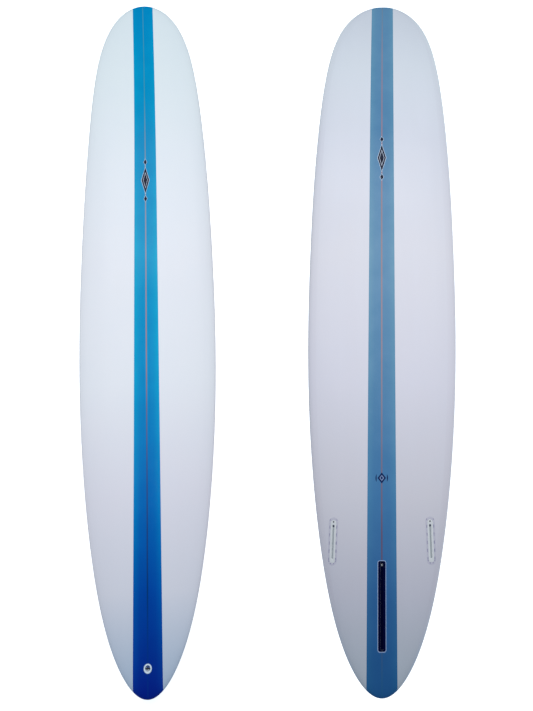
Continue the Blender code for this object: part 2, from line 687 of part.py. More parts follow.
for name, frame in side_frames.items():
    make_side_box(name, frame)
    make_grub_screw(name, frame)


# ---------------------------------------------------------------- leash plug
def cross_bar(name, radius, length, mat=None):
    """A bar across the plug's cup."""
    bar = cylinder(name, radius, length / 2, -length / 2, sides=20, parent=plug_frame, mat=mat)
    bar.rotation_euler = (0, math.radians(90), 0)
    bar.location = (0, 0, -PLUG_PIN_DEPTH)
    return bar


def make_plug_cup():
    profile = (  # radius, height, from the cup's floor up the inside and down the outside
        (0.0, -PLUG_CUP_DEPTH),
        (PLUG_CUP_R - PLUG_CUP_CHAMFER, -PLUG_CUP_DEPTH),
        (PLUG_CUP_R, -PLUG_CUP_DEPTH + PLUG_CUP_CHAMFER),
        (PLUG_CUP_R, -PLUG_RIM_CHAMFER),
        (PLUG_CUP_R + PLUG_RIM_CHAMFER, 0.0),
        (PLUG_FLANGE_R, 0.0),
        (PLUG_FLANGE_R, -PLUG_FLANGE + GAP),
        (PLUG_BODY_R, -PLUG_FLANGE + GAP),
        (PLUG_BODY_R, -PLUG_DEPTH),
        (0.0, -PLUG_DEPTH),
    )
    cup = turned("leash_plug_cup", profile, sides=40, parent=plug_frame, mat=WHITE_PLASTIC)
    cut(cup, cross_bar("plug_pin_cutter", PLUG_PIN_R + GAP, PLUG_PIN_LENGTH + 2 * GAP))


def make_plug_resin():
    """A ring round the plug's flange."""
    inner = PLUG_FLANGE_R + GAP
    profile = (  # radius, height, a closed loop
        (inner, -PLUG_FLANGE),
        (inner, 0.0),
        (PLUG_RESIN_R, 0.0),
        (PLUG_RESIN_R, -PLUG_FLANGE),
        (inner, -PLUG_FLANGE),
    )
    turned("leash_plug_resin", profile, sides=40, parent=plug_frame, mat=RESIN)


make_plug_cup()
cross_bar("leash_plug_pin", PLUG_PIN_R, PLUG_PIN_LENGTH, STEEL)
make_plug_resin()
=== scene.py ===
import json
import math

import bmesh
import bpy
from mathutils import Matrix, Vector

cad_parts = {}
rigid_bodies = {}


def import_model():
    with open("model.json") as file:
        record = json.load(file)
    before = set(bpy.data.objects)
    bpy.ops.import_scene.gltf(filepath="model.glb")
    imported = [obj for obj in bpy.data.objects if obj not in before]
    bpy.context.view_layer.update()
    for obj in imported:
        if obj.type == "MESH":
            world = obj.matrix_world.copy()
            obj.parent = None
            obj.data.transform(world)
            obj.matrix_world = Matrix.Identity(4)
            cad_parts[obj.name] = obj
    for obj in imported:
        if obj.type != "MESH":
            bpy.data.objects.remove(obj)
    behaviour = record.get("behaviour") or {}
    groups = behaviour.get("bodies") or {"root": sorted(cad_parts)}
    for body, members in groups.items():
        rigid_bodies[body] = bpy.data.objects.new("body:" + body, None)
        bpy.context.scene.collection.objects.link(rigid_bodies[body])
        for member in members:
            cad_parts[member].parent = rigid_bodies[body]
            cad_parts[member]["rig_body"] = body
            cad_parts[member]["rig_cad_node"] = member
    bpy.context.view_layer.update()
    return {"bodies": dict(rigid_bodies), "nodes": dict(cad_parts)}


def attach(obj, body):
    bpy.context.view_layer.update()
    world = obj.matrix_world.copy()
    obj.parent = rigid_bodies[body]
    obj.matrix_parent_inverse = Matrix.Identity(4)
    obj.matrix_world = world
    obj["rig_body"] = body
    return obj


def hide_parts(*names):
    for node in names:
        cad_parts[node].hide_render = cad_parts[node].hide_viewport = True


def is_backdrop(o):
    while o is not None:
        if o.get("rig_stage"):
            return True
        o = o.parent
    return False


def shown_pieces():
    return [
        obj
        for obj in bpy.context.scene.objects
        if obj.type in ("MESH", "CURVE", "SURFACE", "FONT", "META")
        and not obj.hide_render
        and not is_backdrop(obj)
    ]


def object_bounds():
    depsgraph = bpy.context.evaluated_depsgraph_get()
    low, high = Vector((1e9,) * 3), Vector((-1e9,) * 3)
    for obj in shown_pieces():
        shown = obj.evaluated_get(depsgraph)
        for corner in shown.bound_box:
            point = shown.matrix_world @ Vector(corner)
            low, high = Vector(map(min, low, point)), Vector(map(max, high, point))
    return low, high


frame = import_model()
scene = bpy.context.scene

# ================================================================ the board's dimensions (metres)
# The same driving dimensions as the CAD, so that the fine surfaces lie exactly on its hull.
LENGTH, WIDTH, WIDE_POINT_Y = 2.794, 0.571, 0.127
NOSE_FULLNESS, NOSE_POWER, NOSE_ROUND = 0.270, 2.11, 8.55
TAIL_FULLNESS, TAIL_POWER, TAIL_ROUND = 0.614, 2.51, 14.1
THICKNESS, NOSE_TIP_THICKNESS, TAIL_TIP_THICKNESS, FOIL_POWER = 0.073, 0.022, 0.026, 2.4
NOSE_ROCKER, NOSE_ROCKER_POWER = 0.138, 2.40
TAIL_ROCKER, TAIL_ROCKER_POWER = 0.060, 2.10
FLAT_SPOT, RAIL_HEIGHT, DECK_CROWN, BOTTOM_ROLL, TIP_ROUND = 0.185, 0.45, 2.6, 5.0, 120.0
HALF = LENGTH / 2

STRIPE_WIDTH = 0.100
SKIN, TINT, TINT_SEAT = 0.0010, 0.00040, 0.00045

DECK_DECAL_Y, BOTTOM_DECAL_Y, TAIL_DECAL_Y = 0.4690, 0.5190, -0.7370

CENTER_FRONT_Y, CENTER_REAR_Y = -0.9995, -1.2660
CENTER_WIDTH, CENTER_DEPTH, CENTER_CORNER = 0.0250, 0.0250, 0.0060
SLOT_WIDTH, SLOT_LENGTH, SLOT_DEPTH = 0.0098, 0.2620, 0.0212
GROOVE_WIDTH, GROOVE_TOP, GROOVE_UNDER = 0.0142, 0.0090, 0.0130
BEAD_WIDTH, BEAD_DEPTH = 0.0022, 0.0030
PLATE_ACROSS, PLATE_ALONG, PLATE_THICK = 0.0128, 0.0090, 0.0030
FIN_SCREW_Y = -1.0115
FIN_SCREW_R, FIN_HEAD_R = 0.0021, 0.0037

SIDE_X, SIDE_Y, SIDE_TOE_DEG = 0.1675, -0.9378, 1.75
SIDE_WIDTH, SIDE_LENGTH, SIDE_DEPTH = 0.0190, 0.1340, 0.0190
HALO_WIDTH, HALO_LENGTH, HALO_DEPTH = 0.0320, 0.1510, 0.0030
SIDE_SLOT_WIDTH, SIDE_SLOT_DEPTH = 0.0064, 0.0140
SIDE_SCREW_Y, SIDE_SLOT_FRONT, SIDE_SLOT_REAR = 0.0612, 0.0520, -0.0545
SIDE_SCREW_R, SIDE_SCREW_LENGTH, SIDE_HOLE_R, SIDE_HOLE_DEPTH = 0.0024, 0.0080, 0.0038, 0.0060

PLUG_Y = -1.313
PLUG_FLANGE_R, PLUG_FLANGE, PLUG_BODY_R, PLUG_DEPTH = 0.0133, 0.0020, 0.0120, 0.0180
PLUG_CUP_R, PLUG_CUP_DEPTH, PLUG_RESIN_R = 0.0088, 0.0140, 0.0152
PLUG_PIN_R, PLUG_PIN_DEPTH = 0.0020, 0.0050


# ================================================================ the hull
def half_width(y):
    if y >= WIDE_POINT_Y:
        u, fullness, power, rounding = (y - WIDE_POINT_Y) / (HALF - WIDE_POINT_Y), NOSE_FULLNESS, NOSE_POWER, NOSE_ROUND
    else:
        u, fullness, power, rounding = (WIDE_POINT_Y - y) / (HALF + WIDE_POINT_Y), TAIL_FULLNESS, TAIL_POWER, TAIL_ROUND
    u = min(max(u, 0.0), 1.0)
    return 0.5 * WIDTH * (1 - fullness * u**power) * math.sqrt(max(1 - u**rounding, 0.0))


def rocker(y):
    s = max(abs(y) - FLAT_SPOT, 0.0) / (HALF - FLAT_SPOT)
    return NOSE_ROCKER * s**NOSE_ROCKER_POWER if y > 0 else TAIL_ROCKER * s**TAIL_ROCKER_POWER


def foil(y):
    tip = NOSE_TIP_THICKNESS if y > 0 else TAIL_TIP_THICKNESS
    return tip + (THICKNESS - tip) * (1 - min(abs(y) / HALF, 1.0) ** FOIL_POWER)


def tip_rounding(y):
    return math.sqrt(max(1 - min(abs(y) / HALF, 1.0) ** TIP_ROUND, 0.0))


def rise(y, x, deck):
    """Height of the outer surface above the rail's line: positive on the deck, negative on the bottom."""
    w, thick = half_width(y), foil(y) * tip_rounding(y)
    share = min(abs(x) / w, 1.0) if w > 0 else 1.0
    if deck:
        return (1 - RAIL_HEIGHT) * thick * math.sqrt(max(1 - share**DECK_CROWN, 0.0))
    return -RAIL_HEIGHT * thick * math.sqrt(max(1 - share**BOTTOM_ROLL, 0.0))


def rail_line(y):
    return rocker(y) + RAIL_HEIGHT * foil(y)


def surface(y, x, deck):
    return rail_line(y) + rise(y, x, deck)


def surface_frame(x, y, deck, forward):
    """A frame on the hull: Z out of the board, Y as near to forward as the surface allows."""
    step = 0.002
    along = Vector((0, 2 * step, surface(y + step, x, deck) - surface(y - step, x, deck)))
    across = Vector((2 * step, 0, surface(y, x + step, deck) - surface(y, x - step, deck)))
    out = across.cross(along).normalized()
    if (out.z > 0) != deck:
        out.negate()
    ahead = (forward - out * forward.dot(out)).normalized()
    matrix = Matrix((ahead.cross(out), ahead, out)).transposed().to_4x4()
    matrix.translation = Vector((x, y, surface(y, x, deck)))
    return matrix


FORWARD = Vector((0, 1, 0))
center_mid_y = (CENTER_FRONT_Y + CENTER_REAR_Y) / 2
center_run = Vector((0, CENTER_FRONT_Y - CENTER_REAR_Y,
                     surface(CENTER_FRONT_Y, 0, False) - surface(CENTER_REAR_Y, 0, False)))
CENTER_LENGTH = center_run.length
center_ahead = center_run.normalized()
center_side = center_ahead.cross(Vector((0, 0, -1))).normalized()
CENTER_FRAME = Matrix((center_side, center_ahead, center_side.cross(center_ahead))).transposed().to_4x4()
chord_mid_z = (surface(CENTER_FRONT_Y, 0, False) + surface(CENTER_REAR_Y, 0, False)) / 2
CENTER_FRAME.translation = Vector((0, center_mid_y, (chord_mid_z + surface(center_mid_y, 0, False)) / 2))
SCREW_FRAME = CENTER_FRAME @ Matrix.Translation((0, (FIN_SCREW_Y - center_mid_y) / center_ahead.y, 0))

toe = math.radians(SIDE_TOE_DEG)
SIDE_FRAMES = {
    name: surface_frame(sign * SIDE_X, SIDE_Y, False, Vector((-sign * math.sin(toe), math.cos(toe), 0)))
    for name, sign in (("left", -1), ("right", 1))
}
PLUG_FRAME = surface_frame(0.0, PLUG_Y, True, FORWARD)


# ================================================================ materials
def srgb(r, g, b):
    return tuple((c / 255 / 12.92) if c / 255 <= 0.04045 else ((c / 255 + 0.055) / 1.055) ** 2.4 for c in (r, g, b))


class Look:
    """A Principled material built node by node. Numbers and sockets can both be given as inputs."""

    def __init__(self, name):
        self.material = bpy.data.materials.new(name)
        self.material.use_nodes = True
        self.tree = self.material.node_tree
        self.shader = self.tree.nodes["Principled BSDF"]

    def node(self, kind, **properties):
        made = self.tree.nodes.new(kind)
        for key, value in properties.items():
            setattr(made, key, value)
        return made

    def feed(self, socket, value):
        if isinstance(value, bpy.types.NodeSocket):
            self.tree.links.new(value, socket)
        elif isinstance(value, (tuple, list)) and len(value) == 3 and socket.type == "RGBA":
            socket.default_value = (*value, 1.0)
        else:
            socket.default_value = value

    def math(self, operation, a, b=0.0, c=0.0, clamp=False):
        made = self.node("ShaderNodeMath", operation=operation, use_clamp=clamp)
        for socket, value in zip(made.inputs, (a, b, c)):
            self.feed(socket, value)
        return made.outputs[0]

    def place(self):
        """The point in the fitting's or the board's own frame, stored in the mesh."""
        if not hasattr(self, "_place"):
            self._place = self.node("ShaderNodeAttribute", attribute_name="place").outputs["Vector"]
            split = self.node("ShaderNodeSeparateXYZ")
            self.feed(split.inputs[0], self._place)
            self._axes = split.outputs
        return self._place

    def axis(self, letter):
        self.place()
        return self._axes["XYZ".index(letter)]

    def use_object_coordinates(self):
        self._place = self.node("ShaderNodeTexCoord").outputs["Object"]
        split = self.node("ShaderNodeSeparateXYZ")
        self.feed(split.inputs[0], self._place)
        self._axes = split.outputs

    def scaled(self, x, y, z):
        made = self.node("ShaderNodeVectorMath", operation="MULTIPLY")
        self.feed(made.inputs[0], self.place())
        made.inputs[1].default_value = (x, y, z)
        return made.outputs[0]

    def noise(self, scale, detail=3.0, roughness=0.5, vector=None, distortion=0.0):
        made = self.node("ShaderNodeTexNoise")
        self.feed(made.inputs["Vector"], vector if vector is not None else self.place())
        made.inputs["Scale"].default_value = scale
        made.inputs["Detail"].default_value = detail
        made.inputs["Roughness"].default_value = roughness
        made.inputs["Distortion"].default_value = distortion
        return made.outputs["Fac"]

    def remap(self, value, low, high, to_low, to_high, smooth=False):
        made = self.node("ShaderNodeMapRange", interpolation_type="SMOOTHSTEP" if smooth else "LINEAR")
        for socket, v in zip(made.inputs, (value, low, high, to_low, to_high)):
            self.feed(socket, v)
        return made.outputs[0]

    def ramp(self, factor, stops):
        made = self.node("ShaderNodeValToRGB")
        self.feed(made.inputs[0], factor)
        elements = made.color_ramp.elements
        while len(elements) > 1:
            elements.remove(elements[0])
        for i, (position, color) in enumerate(stops):
            element = elements[0] if i == 0 else elements.new(position)
            element.position = position
            element.color = (*color, 1.0)
        return made.outputs[0]

    def mix(self, factor, a, b, blend="MIX"):
        made = self.node("ShaderNodeMix", data_type="RGBA", blend_type=blend)
        self.feed(made.inputs[0], factor)
        self.feed(made.inputs[6], a)
        self.feed(made.inputs[7], b)
        return made.outputs[2]

    def along(self, stops):
        """A colour that changes along the board. Stops are (y in metres, linear colour)."""
        factor = self.remap(self.axis("Y"), -HALF, HALF, 0.0, 1.0)
        return self.ramp(factor, [((y + HALF) / LENGTH, color) for y, color in sorted(stops)])

    def band(self, value, centre, half, soft):
        """1 within half of centre, falling to 0 over soft."""
        away = self.math("ABSOLUTE", self.math("SUBTRACT", value, centre))
        return self.remap(away, half, half + soft, 1.0, 0.0, smooth=True)

    def weave(self, pitch):
        """Plain glass weave: height 0 to 1, at pitch metres a thread."""
        turn = math.tau / (2 * pitch)
        sx = self.math("SINE", self.math("MULTIPLY", self.axis("X"), turn))
        sy = self.math("SINE", self.math("MULTIPLY", self.axis("Y"), turn))
        return self.remap(self.math("MULTIPLY", sx, sy), -1.0, 1.0, 0.0, 1.0)

    def bump(self, height, strength, distance):
        made = self.node("ShaderNodeBump")
        made.inputs["Strength"].default_value = strength
        made.inputs["Distance"].default_value = distance
        self.feed(made.inputs["Height"], height)
        return made.outputs["Normal"]

    def finish(self, color, roughness, metallic=0.0, coat=0.0, coat_roughness=0.1, normal=None, specular=0.5):
        s = self.shader.inputs
        self.feed(s["Base Color"], color)
        self.feed(s["Roughness"], roughness)
        s["Metallic"].default_value = metallic
        s["Coat Weight"].default_value = coat
        self.feed(s["Coat Roughness"], coat_roughness)
        s["Specular IOR Level"].default_value = specular
        if normal is not None:
            self.feed(s["Normal"], normal)
        return self.material


GLOSS = 0.13  # roughness of the finish coat
COAT = 0.45


def glass_over_foam(name, stops, lap):
    """Clear glassed cloth over white foam: faint weave, faint foam mottle and a soft polish."""
    look = Look(name)
    tone = look.along(stops)
    mottle = look.noise(9.0, 4.0, 0.55)
    tone = look.mix(look.remap(mottle, 0.35, 0.70, 0.0, 0.05), tone, srgb(196, 208, 222))
    streak = look.noise(3.0, 3.0, 0.5, look.scaled(6.0, 0.6, 6.0))
    tone = look.mix(look.remap(streak, 0.45, 0.75, 0.0, 0.05), tone, srgb(222, 222, 232))
    weave = look.weave(0.0011)
    tone = look.mix(look.math("MULTIPLY", weave, 0.018), tone, srgb(170, 184, 200))
    if lap:
        # the lap under the rail has the bottom's tone; two layers of cloth make it a shade denser
        under = look.node("ShaderNodeAttribute", attribute_name="under").outputs["Fac"]
        tone = look.mix(under, tone, look.mix(1.0, look.along(lap), (0.985, 0.985, 0.99), "MULTIPLY"))
    rough = look.remap(look.noise(14.0, 5.0, 0.6), 0.3, 0.8, 0.38, 0.50)
    coat_rough = look.remap(look.noise(5.0, 4.0, 0.6, look.scaled(2.0, 0.7, 2.0)), 0.3, 0.75, GLOSS - 0.03, GLOSS + 0.06)
    height = look.math("ADD", look.math("MULTIPLY", weave, 0.10), look.noise(60.0, 2.0, 0.5))
    return look.finish(tone, rough, coat=COAT, coat_roughness=coat_rough, normal=look.bump(height, 0.03, 0.0004), specular=0.0)


def tinted_glass(name, stops, wood_stops, wood_share, edge_sheen_stops):
    """Blue pigmented resin over cloth, with the stringer showing through as a fine line."""
    look = Look(name)
    tone = look.along(stops)
    streak = look.noise(4.0, 4.0, 0.55, look.scaled(14.0, 0.5, 4.0))
    tone = look.mix(look.remap(streak, 0.40, 0.75, 0.0, 0.10), tone, look.mix(1.0, tone, (0.72, 0.84, 0.92), "MULTIPLY"))
    cloud = look.noise(11.0, 4.0, 0.5)
    tone = look.mix(look.remap(cloud, 0.40, 0.75, 0.0, 0.6), tone, look.mix(1.0, tone, (1.30, 1.16, 1.10), "MULTIPLY"))
    weave = look.weave(0.0011)
    tone = look.mix(look.math("MULTIPLY", weave, 0.05), tone, look.mix(1.0, tone, (0.6, 0.7, 0.8), "MULTIPLY"))
    # painted reflection: the tint is paler towards its edges and a little deeper along its middle, as the sheen of a
    # curved surface, most towards the tail
    across = look.math("ABSOLUTE", look.axis("X"))
    amount = look.along([(y, (s, s, s)) for y, s in edge_sheen_stops])
    pale = look.math("MULTIPLY", look.remap(across, 0.027, 0.0475, 0.0, 1.0), amount)
    tone = look.mix(pale, tone, look.mix(1.0, tone, (1.6, 1.6, 1.16), "MULTIPLY"))
    middle = look.math("MULTIPLY", look.remap(across, 0.012, 0.026, 1.0, 0.0), amount)
    tone = look.mix(middle, tone, look.mix(1.0, tone, (0.90, 0.90, 0.97), "MULTIPLY"))
    # resin pools slightly deeper in colour just inside the taped edge
    rim = look.band(look.math("ABSOLUTE", look.axis("X")), STRIPE_WIDTH / 2 - 0.0012, 0.0006, 0.0022)
    tone = look.mix(look.math("MULTIPLY", rim, 0.16), tone, look.mix(1.0, tone, (0.55, 0.72, 0.85), "MULTIPLY"))
    wander = look.remap(look.noise(1.7, 2.0, 0.5), 0.0, 1.0, -0.0006, 0.0006)
    line = look.band(look.math("ADD", look.axis("X"), wander), 0.0, 0.0018, 0.0012)
    grain = look.remap(look.noise(30.0, 4.0, 0.6, look.scaled(40.0, 0.6, 1.0)), 0.3, 0.7, 0.82, 1.0)
    share = look.math("MULTIPLY", look.math("MULTIPLY", line, grain), look.along([(y, (s, s, s)) for y, s in wood_share]))
    tone = look.mix(share, tone, look.along(wood_stops))
    rough = look.remap(look.noise(14.0, 5.0, 0.6), 0.3, 0.8, 0.38, 0.50)
    coat_rough = look.remap(look.noise(5.0, 4.0, 0.6, look.scaled(2.0, 0.7, 2.0)), 0.3, 0.75, GLOSS - 0.03, GLOSS + 0.06)
    height = look.math("ADD", look.math("MULTIPLY", weave, 0.10), look.noise(60.0, 2.0, 0.5))
    return look.finish(tone, rough, coat=COAT, coat_roughness=coat_rough, normal=look.bump(height, 0.03, 0.0004), specular=0.0)


# Tones along the board as (y, linear colour) stops. They hold painted shade: the white and the blue darken towards the
# tail, where less light falls on the board.
WHITE_DECK = [(-1.38, (0.404, 0.497, 0.608)), (-1.1, (0.667, 0.649, 0.693)), (-0.8, (0.702, 0.668, 0.709)), (-0.4, (0.721, 0.717, 0.735)), (0.1, (0.697, 0.689, 0.708)), (0.6, (0.685, 0.702, 0.717)), (1, (0.685, 0.727, 0.729)), (1.38, (0.686, 0.742, 0.746))]
WHITE_BOTTOM = [(-1.38, (0.434, 0.469, 0.505)), (-1.1, (0.555, 0.526, 0.575)), (-0.8, (0.632, 0.592, 0.625)), (-0.4, (0.656, 0.623, 0.672)), (0.1, (0.642, 0.616, 0.646)), (0.6, (0.577, 0.575, 0.619)), (1, (0.588, 0.608, 0.64)), (1.38, (0.585, 0.603, 0.645))]
BLUE_DECK = [(-1.38, (0.001, 0.016, 0.234)), (-1.1, (0, 0.061, 0.328)), (-0.8, (0.001, 0.138, 0.422)), (-0.4, (0.002, 0.226, 0.468)), (0.1, (0.006, 0.261, 0.462)), (0.6, (0.003, 0.229, 0.445)), (1, (0, 0.248, 0.464)), (1.38, (0, 0.229, 0.475))]
BLUE_BOTTOM = [(-1.38, (0.016, 0.095, 0.252)), (-1.1, (0.032, 0.125, 0.299)), (-0.8, (0.059, 0.184, 0.36)), (-0.4, (0.094, 0.222, 0.365)), (0.1, (0.132, 0.255, 0.378)), (0.6, (0.081, 0.194, 0.322)), (1, (0.089, 0.212, 0.34)), (1.38, (0.108, 0.246, 0.388))]
WOOD_DECK = [(-1.38, srgb(2, 48, 127)), (-1.22, srgb(5, 53, 121)), (-1.1, srgb(6, 50, 96)), (-0.9, srgb(34, 56, 100)), (-0.7, srgb(66, 68, 110)), (-0.5, srgb(112, 98, 115)), (-0.35, srgb(162, 119, 106)), (-0.2, srgb(175, 120, 100)), (-0.04, srgb(171, 125, 112)), (0.12, srgb(168, 135, 128)), (0.28, srgb(155, 137, 136)), (0.7, srgb(113, 135, 145)), (0.9, srgb(65, 135, 153)), (1.1, srgb(55, 136, 159)), (1.3, srgb(64, 140, 168)), (1.38, srgb(64, 140, 168))]
WOOD_BOTTOM = [(-1.38, srgb(36, 94, 132)), (-0.92, srgb(113, 74, 85)), (-0.84, srgb(122, 93, 106)), (-0.6, srgb(137, 117, 128)), (-0.45, srgb(152, 127, 132)), (-0.3, srgb(162, 130, 130)), (-0.1, srgb(166, 131, 128)), (0.1, srgb(165, 128, 120)), (0.3, srgb(157, 120, 115)), (0.72, srgb(149, 114, 119)), (0.9, srgb(145, 117, 125)), (1.1, srgb(139, 124, 133)), (1.3, srgb(110, 128, 146)), (1.38, srgb(110, 128, 146))]

deck_glass = glass_over_foam("glassed_deck", WHITE_DECK, lap=WHITE_BOTTOM)
bottom_glass = glass_over_foam("glassed_bottom", WHITE_BOTTOM, lap=None)
# the last list in each call sets how strong the painted edge sheen is along the board
deck_tint = tinted_glass("blue_deck_tint", BLUE_DECK, WOOD_DECK, [(-1.38, 0.5), (-1.1, 0.9), (1.38, 0.9)], [(-1.38, 1.0), (-0.9, 0.85), (-0.5, 0.6), (0.0, 0.35), (1.38, 0.15)])
bottom_tint = tinted_glass("blue_bottom_tint", BLUE_BOTTOM, WOOD_BOTTOM, [(-1.38, 0.5), (-1.1, 0.9), (1.38, 0.9)], [(-1.38, 0.3), (1.38, 0.2)])


def printed_ink(name, color):
    look = Look(name)
    speck = look.noise(900.0, 2.0, 0.6)
    tone = look.mix(look.remap(speck, 0.45, 0.75, 0.0, 0.10), color, (0.10, 0.14, 0.26))
    fade = look.noise(60.0, 3.0, 0.6)
    tone = look.mix(look.remap(fade, 0.40, 0.80, 0.0, 0.08), tone, (0.08, 0.16, 0.30))
    return look.finish(tone, look.remap(fade, 0.3, 0.8, 0.34, 0.46), coat=COAT, coat_roughness=GLOSS, specular=0.0)


ink_dark = printed_ink("decal_ink", srgb(6, 8, 30))
ink_pale = printed_ink("decal_edge", srgb(206, 214, 228))
ink_blue = printed_ink("decal_ink_blue", srgb(16, 32, 78))


def moulded_plastic(name, light, dark, deep, shine, shaded_wells=(), polish=0.25, specular=0.3):
    """Injection-moulded plastic: fine texture, a little tone drift, and painted shade, darker down inside slots and
    holes.
    """
    look = Look(name)
    drift = look.noise(70.0, 4.0, 0.6)
    tone = look.mix(look.remap(drift, 0.35, 0.75, 0.0, 1.0), light, dark)
    scuff = look.noise(260.0, 3.0, 0.7, look.scaled(1.0, 0.12, 1.0))
    tone = look.mix(look.remap(scuff, 0.62, 0.78, 0.0, 0.25), tone, tuple(min(1.0, c * 1.25 + 0.02) for c in light))
    # painted shade: the tone goes towards the recess colour the deeper a point lies below the top
    inside = look.remap(look.axis("Z"), -0.0012, -0.0055, 0.0, 1.0, smooth=True)
    tone = look.mix(inside, tone, deep)
    for y, reach, color in shaded_wells:
        # a round hole or half a cup: painted shade, darker below the rim within reach of (0, y)
        away = look.node("ShaderNodeVectorMath", operation="LENGTH")
        flat = look.node("ShaderNodeCombineXYZ")
        look.feed(flat.inputs[0], look.axis("X"))
        look.feed(flat.inputs[1], look.math("SUBTRACT", look.axis("Y"), y))
        look.feed(away.inputs[0], flat.outputs[0])
        near = look.remap(away.outputs["Value"], reach, reach + 0.0006, 1.0, 0.0)
        below = look.remap(look.axis("Z"), -0.0003, -0.0012, 0.0, 1.0)
        tone = look.mix(look.math("MULTIPLY", near, below), tone, color)
    pebble = look.noise(2600.0, 2.0, 0.6)
    return look.finish(tone, look.remap(scuff, 0.3, 0.8, shine, shine + 0.14), coat=polish, coat_roughness=0.18,
                       normal=look.bump(pebble, 0.10, 0.00005), specular=specular)


box_plastic = moulded_plastic("black_box_plastic", srgb(3, 8, 50), srgb(2, 4, 38), srgb(1, 3, 34), 0.50, polish=0.0, specular=0.03)
# painted shade: near black down the relief hole, and a darker ring round the grub screw's hole
side_plastic = moulded_plastic("pale_box_plastic", (0.70, 0.69, 0.68), (0.62, 0.62, 0.62), (0.36, 0.38, 0.38), 0.34,
                               shaded_wells=((SIDE_SLOT_FRONT - SIDE_HOLE_R, SIDE_HOLE_R + 0.0004, (0.02, 0.03, 0.06)), (SIDE_SCREW_Y, 0.0032, srgb(60, 66, 80))))
# painted shade: the cup's front part is darker and bluer below its rim, as if in shadow
plug_plastic = moulded_plastic("white_plug_plastic", srgb(222, 232, 240), srgb(208, 222, 232), (0.80, 0.84, 0.88), 0.32,
                               shaded_wells=((0.0070, 0.0068, srgb(96, 124, 190)),))


def set_resin(name, clear, edge, marks):
    """Clear casting resin round a fitting: milky, a few bubbles, and the box's ribs showing through as short dark marks."""
    look = Look(name)
    cloud = look.noise(120.0, 4.0, 0.6)
    tone = look.mix(look.remap(cloud, 0.35, 0.75, 0.0, 1.0), clear, edge)
    bubbles = look.node("ShaderNodeTexVoronoi")
    look.feed(bubbles.inputs["Vector"], look.place())
    bubbles.inputs["Scale"].default_value = 420.0
    spot = look.remap(bubbles.outputs["Distance"], 0.06, 0.14, 0.5, 0.0)
    tone = look.mix(spot, tone, tuple(min(1.0, c * 1.3) for c in clear))
    if marks:
        half = look.math("ABSOLUTE", look.axis("X"))
        row = look.band(half, 0.0120, 0.0007, 0.0016)
        saw = look.math("PINGPONG", look.math("ADD", look.axis("Y"), 0.005), 0.0125)
        dash = look.remap(saw, 0.0036, 0.0064, 1.0, 0.0, smooth=True)
        fade = look.remap(look.noise(90.0, 2.0, 0.5), 0.3, 0.6, 0.45, 1.0)
        rib = look.math("MULTIPLY", look.math("MULTIPLY", row, dash), fade)
        # the same marks fan out round the box's rear end
        back = look.math("ADD", look.axis("Y"), SIDE_LENGTH / 2 - SIDE_WIDTH / 2)
        around = look.math("ARCTAN2", look.axis("X"), look.math("MULTIPLY", back, -1.0))
        ring = look.node("ShaderNodeVectorMath", operation="LENGTH")
        flat = look.node("ShaderNodeCombineXYZ")
        look.feed(flat.inputs[0], look.axis("X"))
        look.feed(flat.inputs[1], back)
        look.feed(ring.inputs[0], flat.outputs[0])
        arc = look.band(ring.outputs["Value"], 0.0120, 0.0007, 0.0016)
        fan = look.remap(look.math("PINGPONG", look.math("ADD", around, 0.42), 0.42), 0.10, 0.26, 1.0, 0.0, smooth=True)
        behind = look.remap(back, 0.0, -0.001, 0.0, 1.0)
        rib = look.math("MAXIMUM", look.math("MULTIPLY", rib, look.math("SUBTRACT", 1.0, behind)),
                        look.math("MULTIPLY", look.math("MULTIPLY", arc, fan), look.math("MULTIPLY", behind, fade)))
        tone = look.mix(look.math("MULTIPLY", rib, 0.95), tone, (0.25, 0.23, 0.35))
        rim = look.band(half, HALO_WIDTH / 2, 0.0004, 0.0014)
        tone = look.mix(look.math("MULTIPLY", rim, 0.25), tone, edge)
    return look.finish(tone, look.remap(cloud, 0.3, 0.8, 0.20, 0.30), coat=COAT, coat_roughness=GLOSS,
                       normal=look.bump(cloud, 0.04, 0.0002), specular=0.25)


bead_resin = set_resin("center_bead_resin", srgb(150, 168, 202), srgb(132, 154, 194), False)
halo_resin = set_resin("side_halo_resin", (0.55, 0.52, 0.58), (0.50, 0.47, 0.54), True)
plug_resin = set_resin("plug_ring_resin", srgb(60, 96, 160), srgb(40, 76, 146), False)


def stainless(name, shade=1.0, dulled=0.0, metal=1.0, glint_radii=None):
    look = Look(name)
    turned = look.noise(900.0, 3.0, 0.6, look.scaled(1.0, 1.0, 6.0))
    tone = look.mix(look.remap(turned, 0.3, 0.75, 0.0, 1.0), tuple(c * shade for c in (0.74, 0.75, 0.77)), tuple(c * shade for c in (0.52, 0.53, 0.56)))
    stain = look.noise(320.0, 3.0, 0.6)
    tone = look.mix(look.remap(stain, 0.60, 0.80, 0.0, 0.35), tone, tuple(c * shade for c in (0.40, 0.36, 0.32)))
    if glint_radii:
        # painted highlight on the dome head: it is darkened nearly to black outside a small spot in its middle, so that
        # only the middle looks lit
        off = look.node("ShaderNodeVectorMath", operation="LENGTH")
        look.feed(off.inputs[0], look.scaled(1.0, 1.0, 0.0))
        tone = look.mix(look.remap(off.outputs["Value"], glint_radii[0], glint_radii[1], 0.0, 0.90, smooth=True), tone, (0.05, 0.05, 0.07))
    return look.finish(tone, look.remap(turned, 0.3, 0.8, 0.18 + dulled, 0.36 + dulled), metallic=metal, normal=look.bump(turned, 0.05, 0.00004))


# the fin screw: painted highlight, its head dark outside a small bright middle
steel = stainless("stainless_steel", 1.15, 0.0, 0.55, glint_radii=(0.0014, 0.0027))
# painted shade: the fin plate, the leash pin and the grub screws sit down in the slots and the cup, and this steel is
# darkened to a sixth of its tone as shade; it is also a little rougher
shaded_steel = stainless("stainless_steel_dulled_and_shaded", 0.16, 0.12, 0.8)


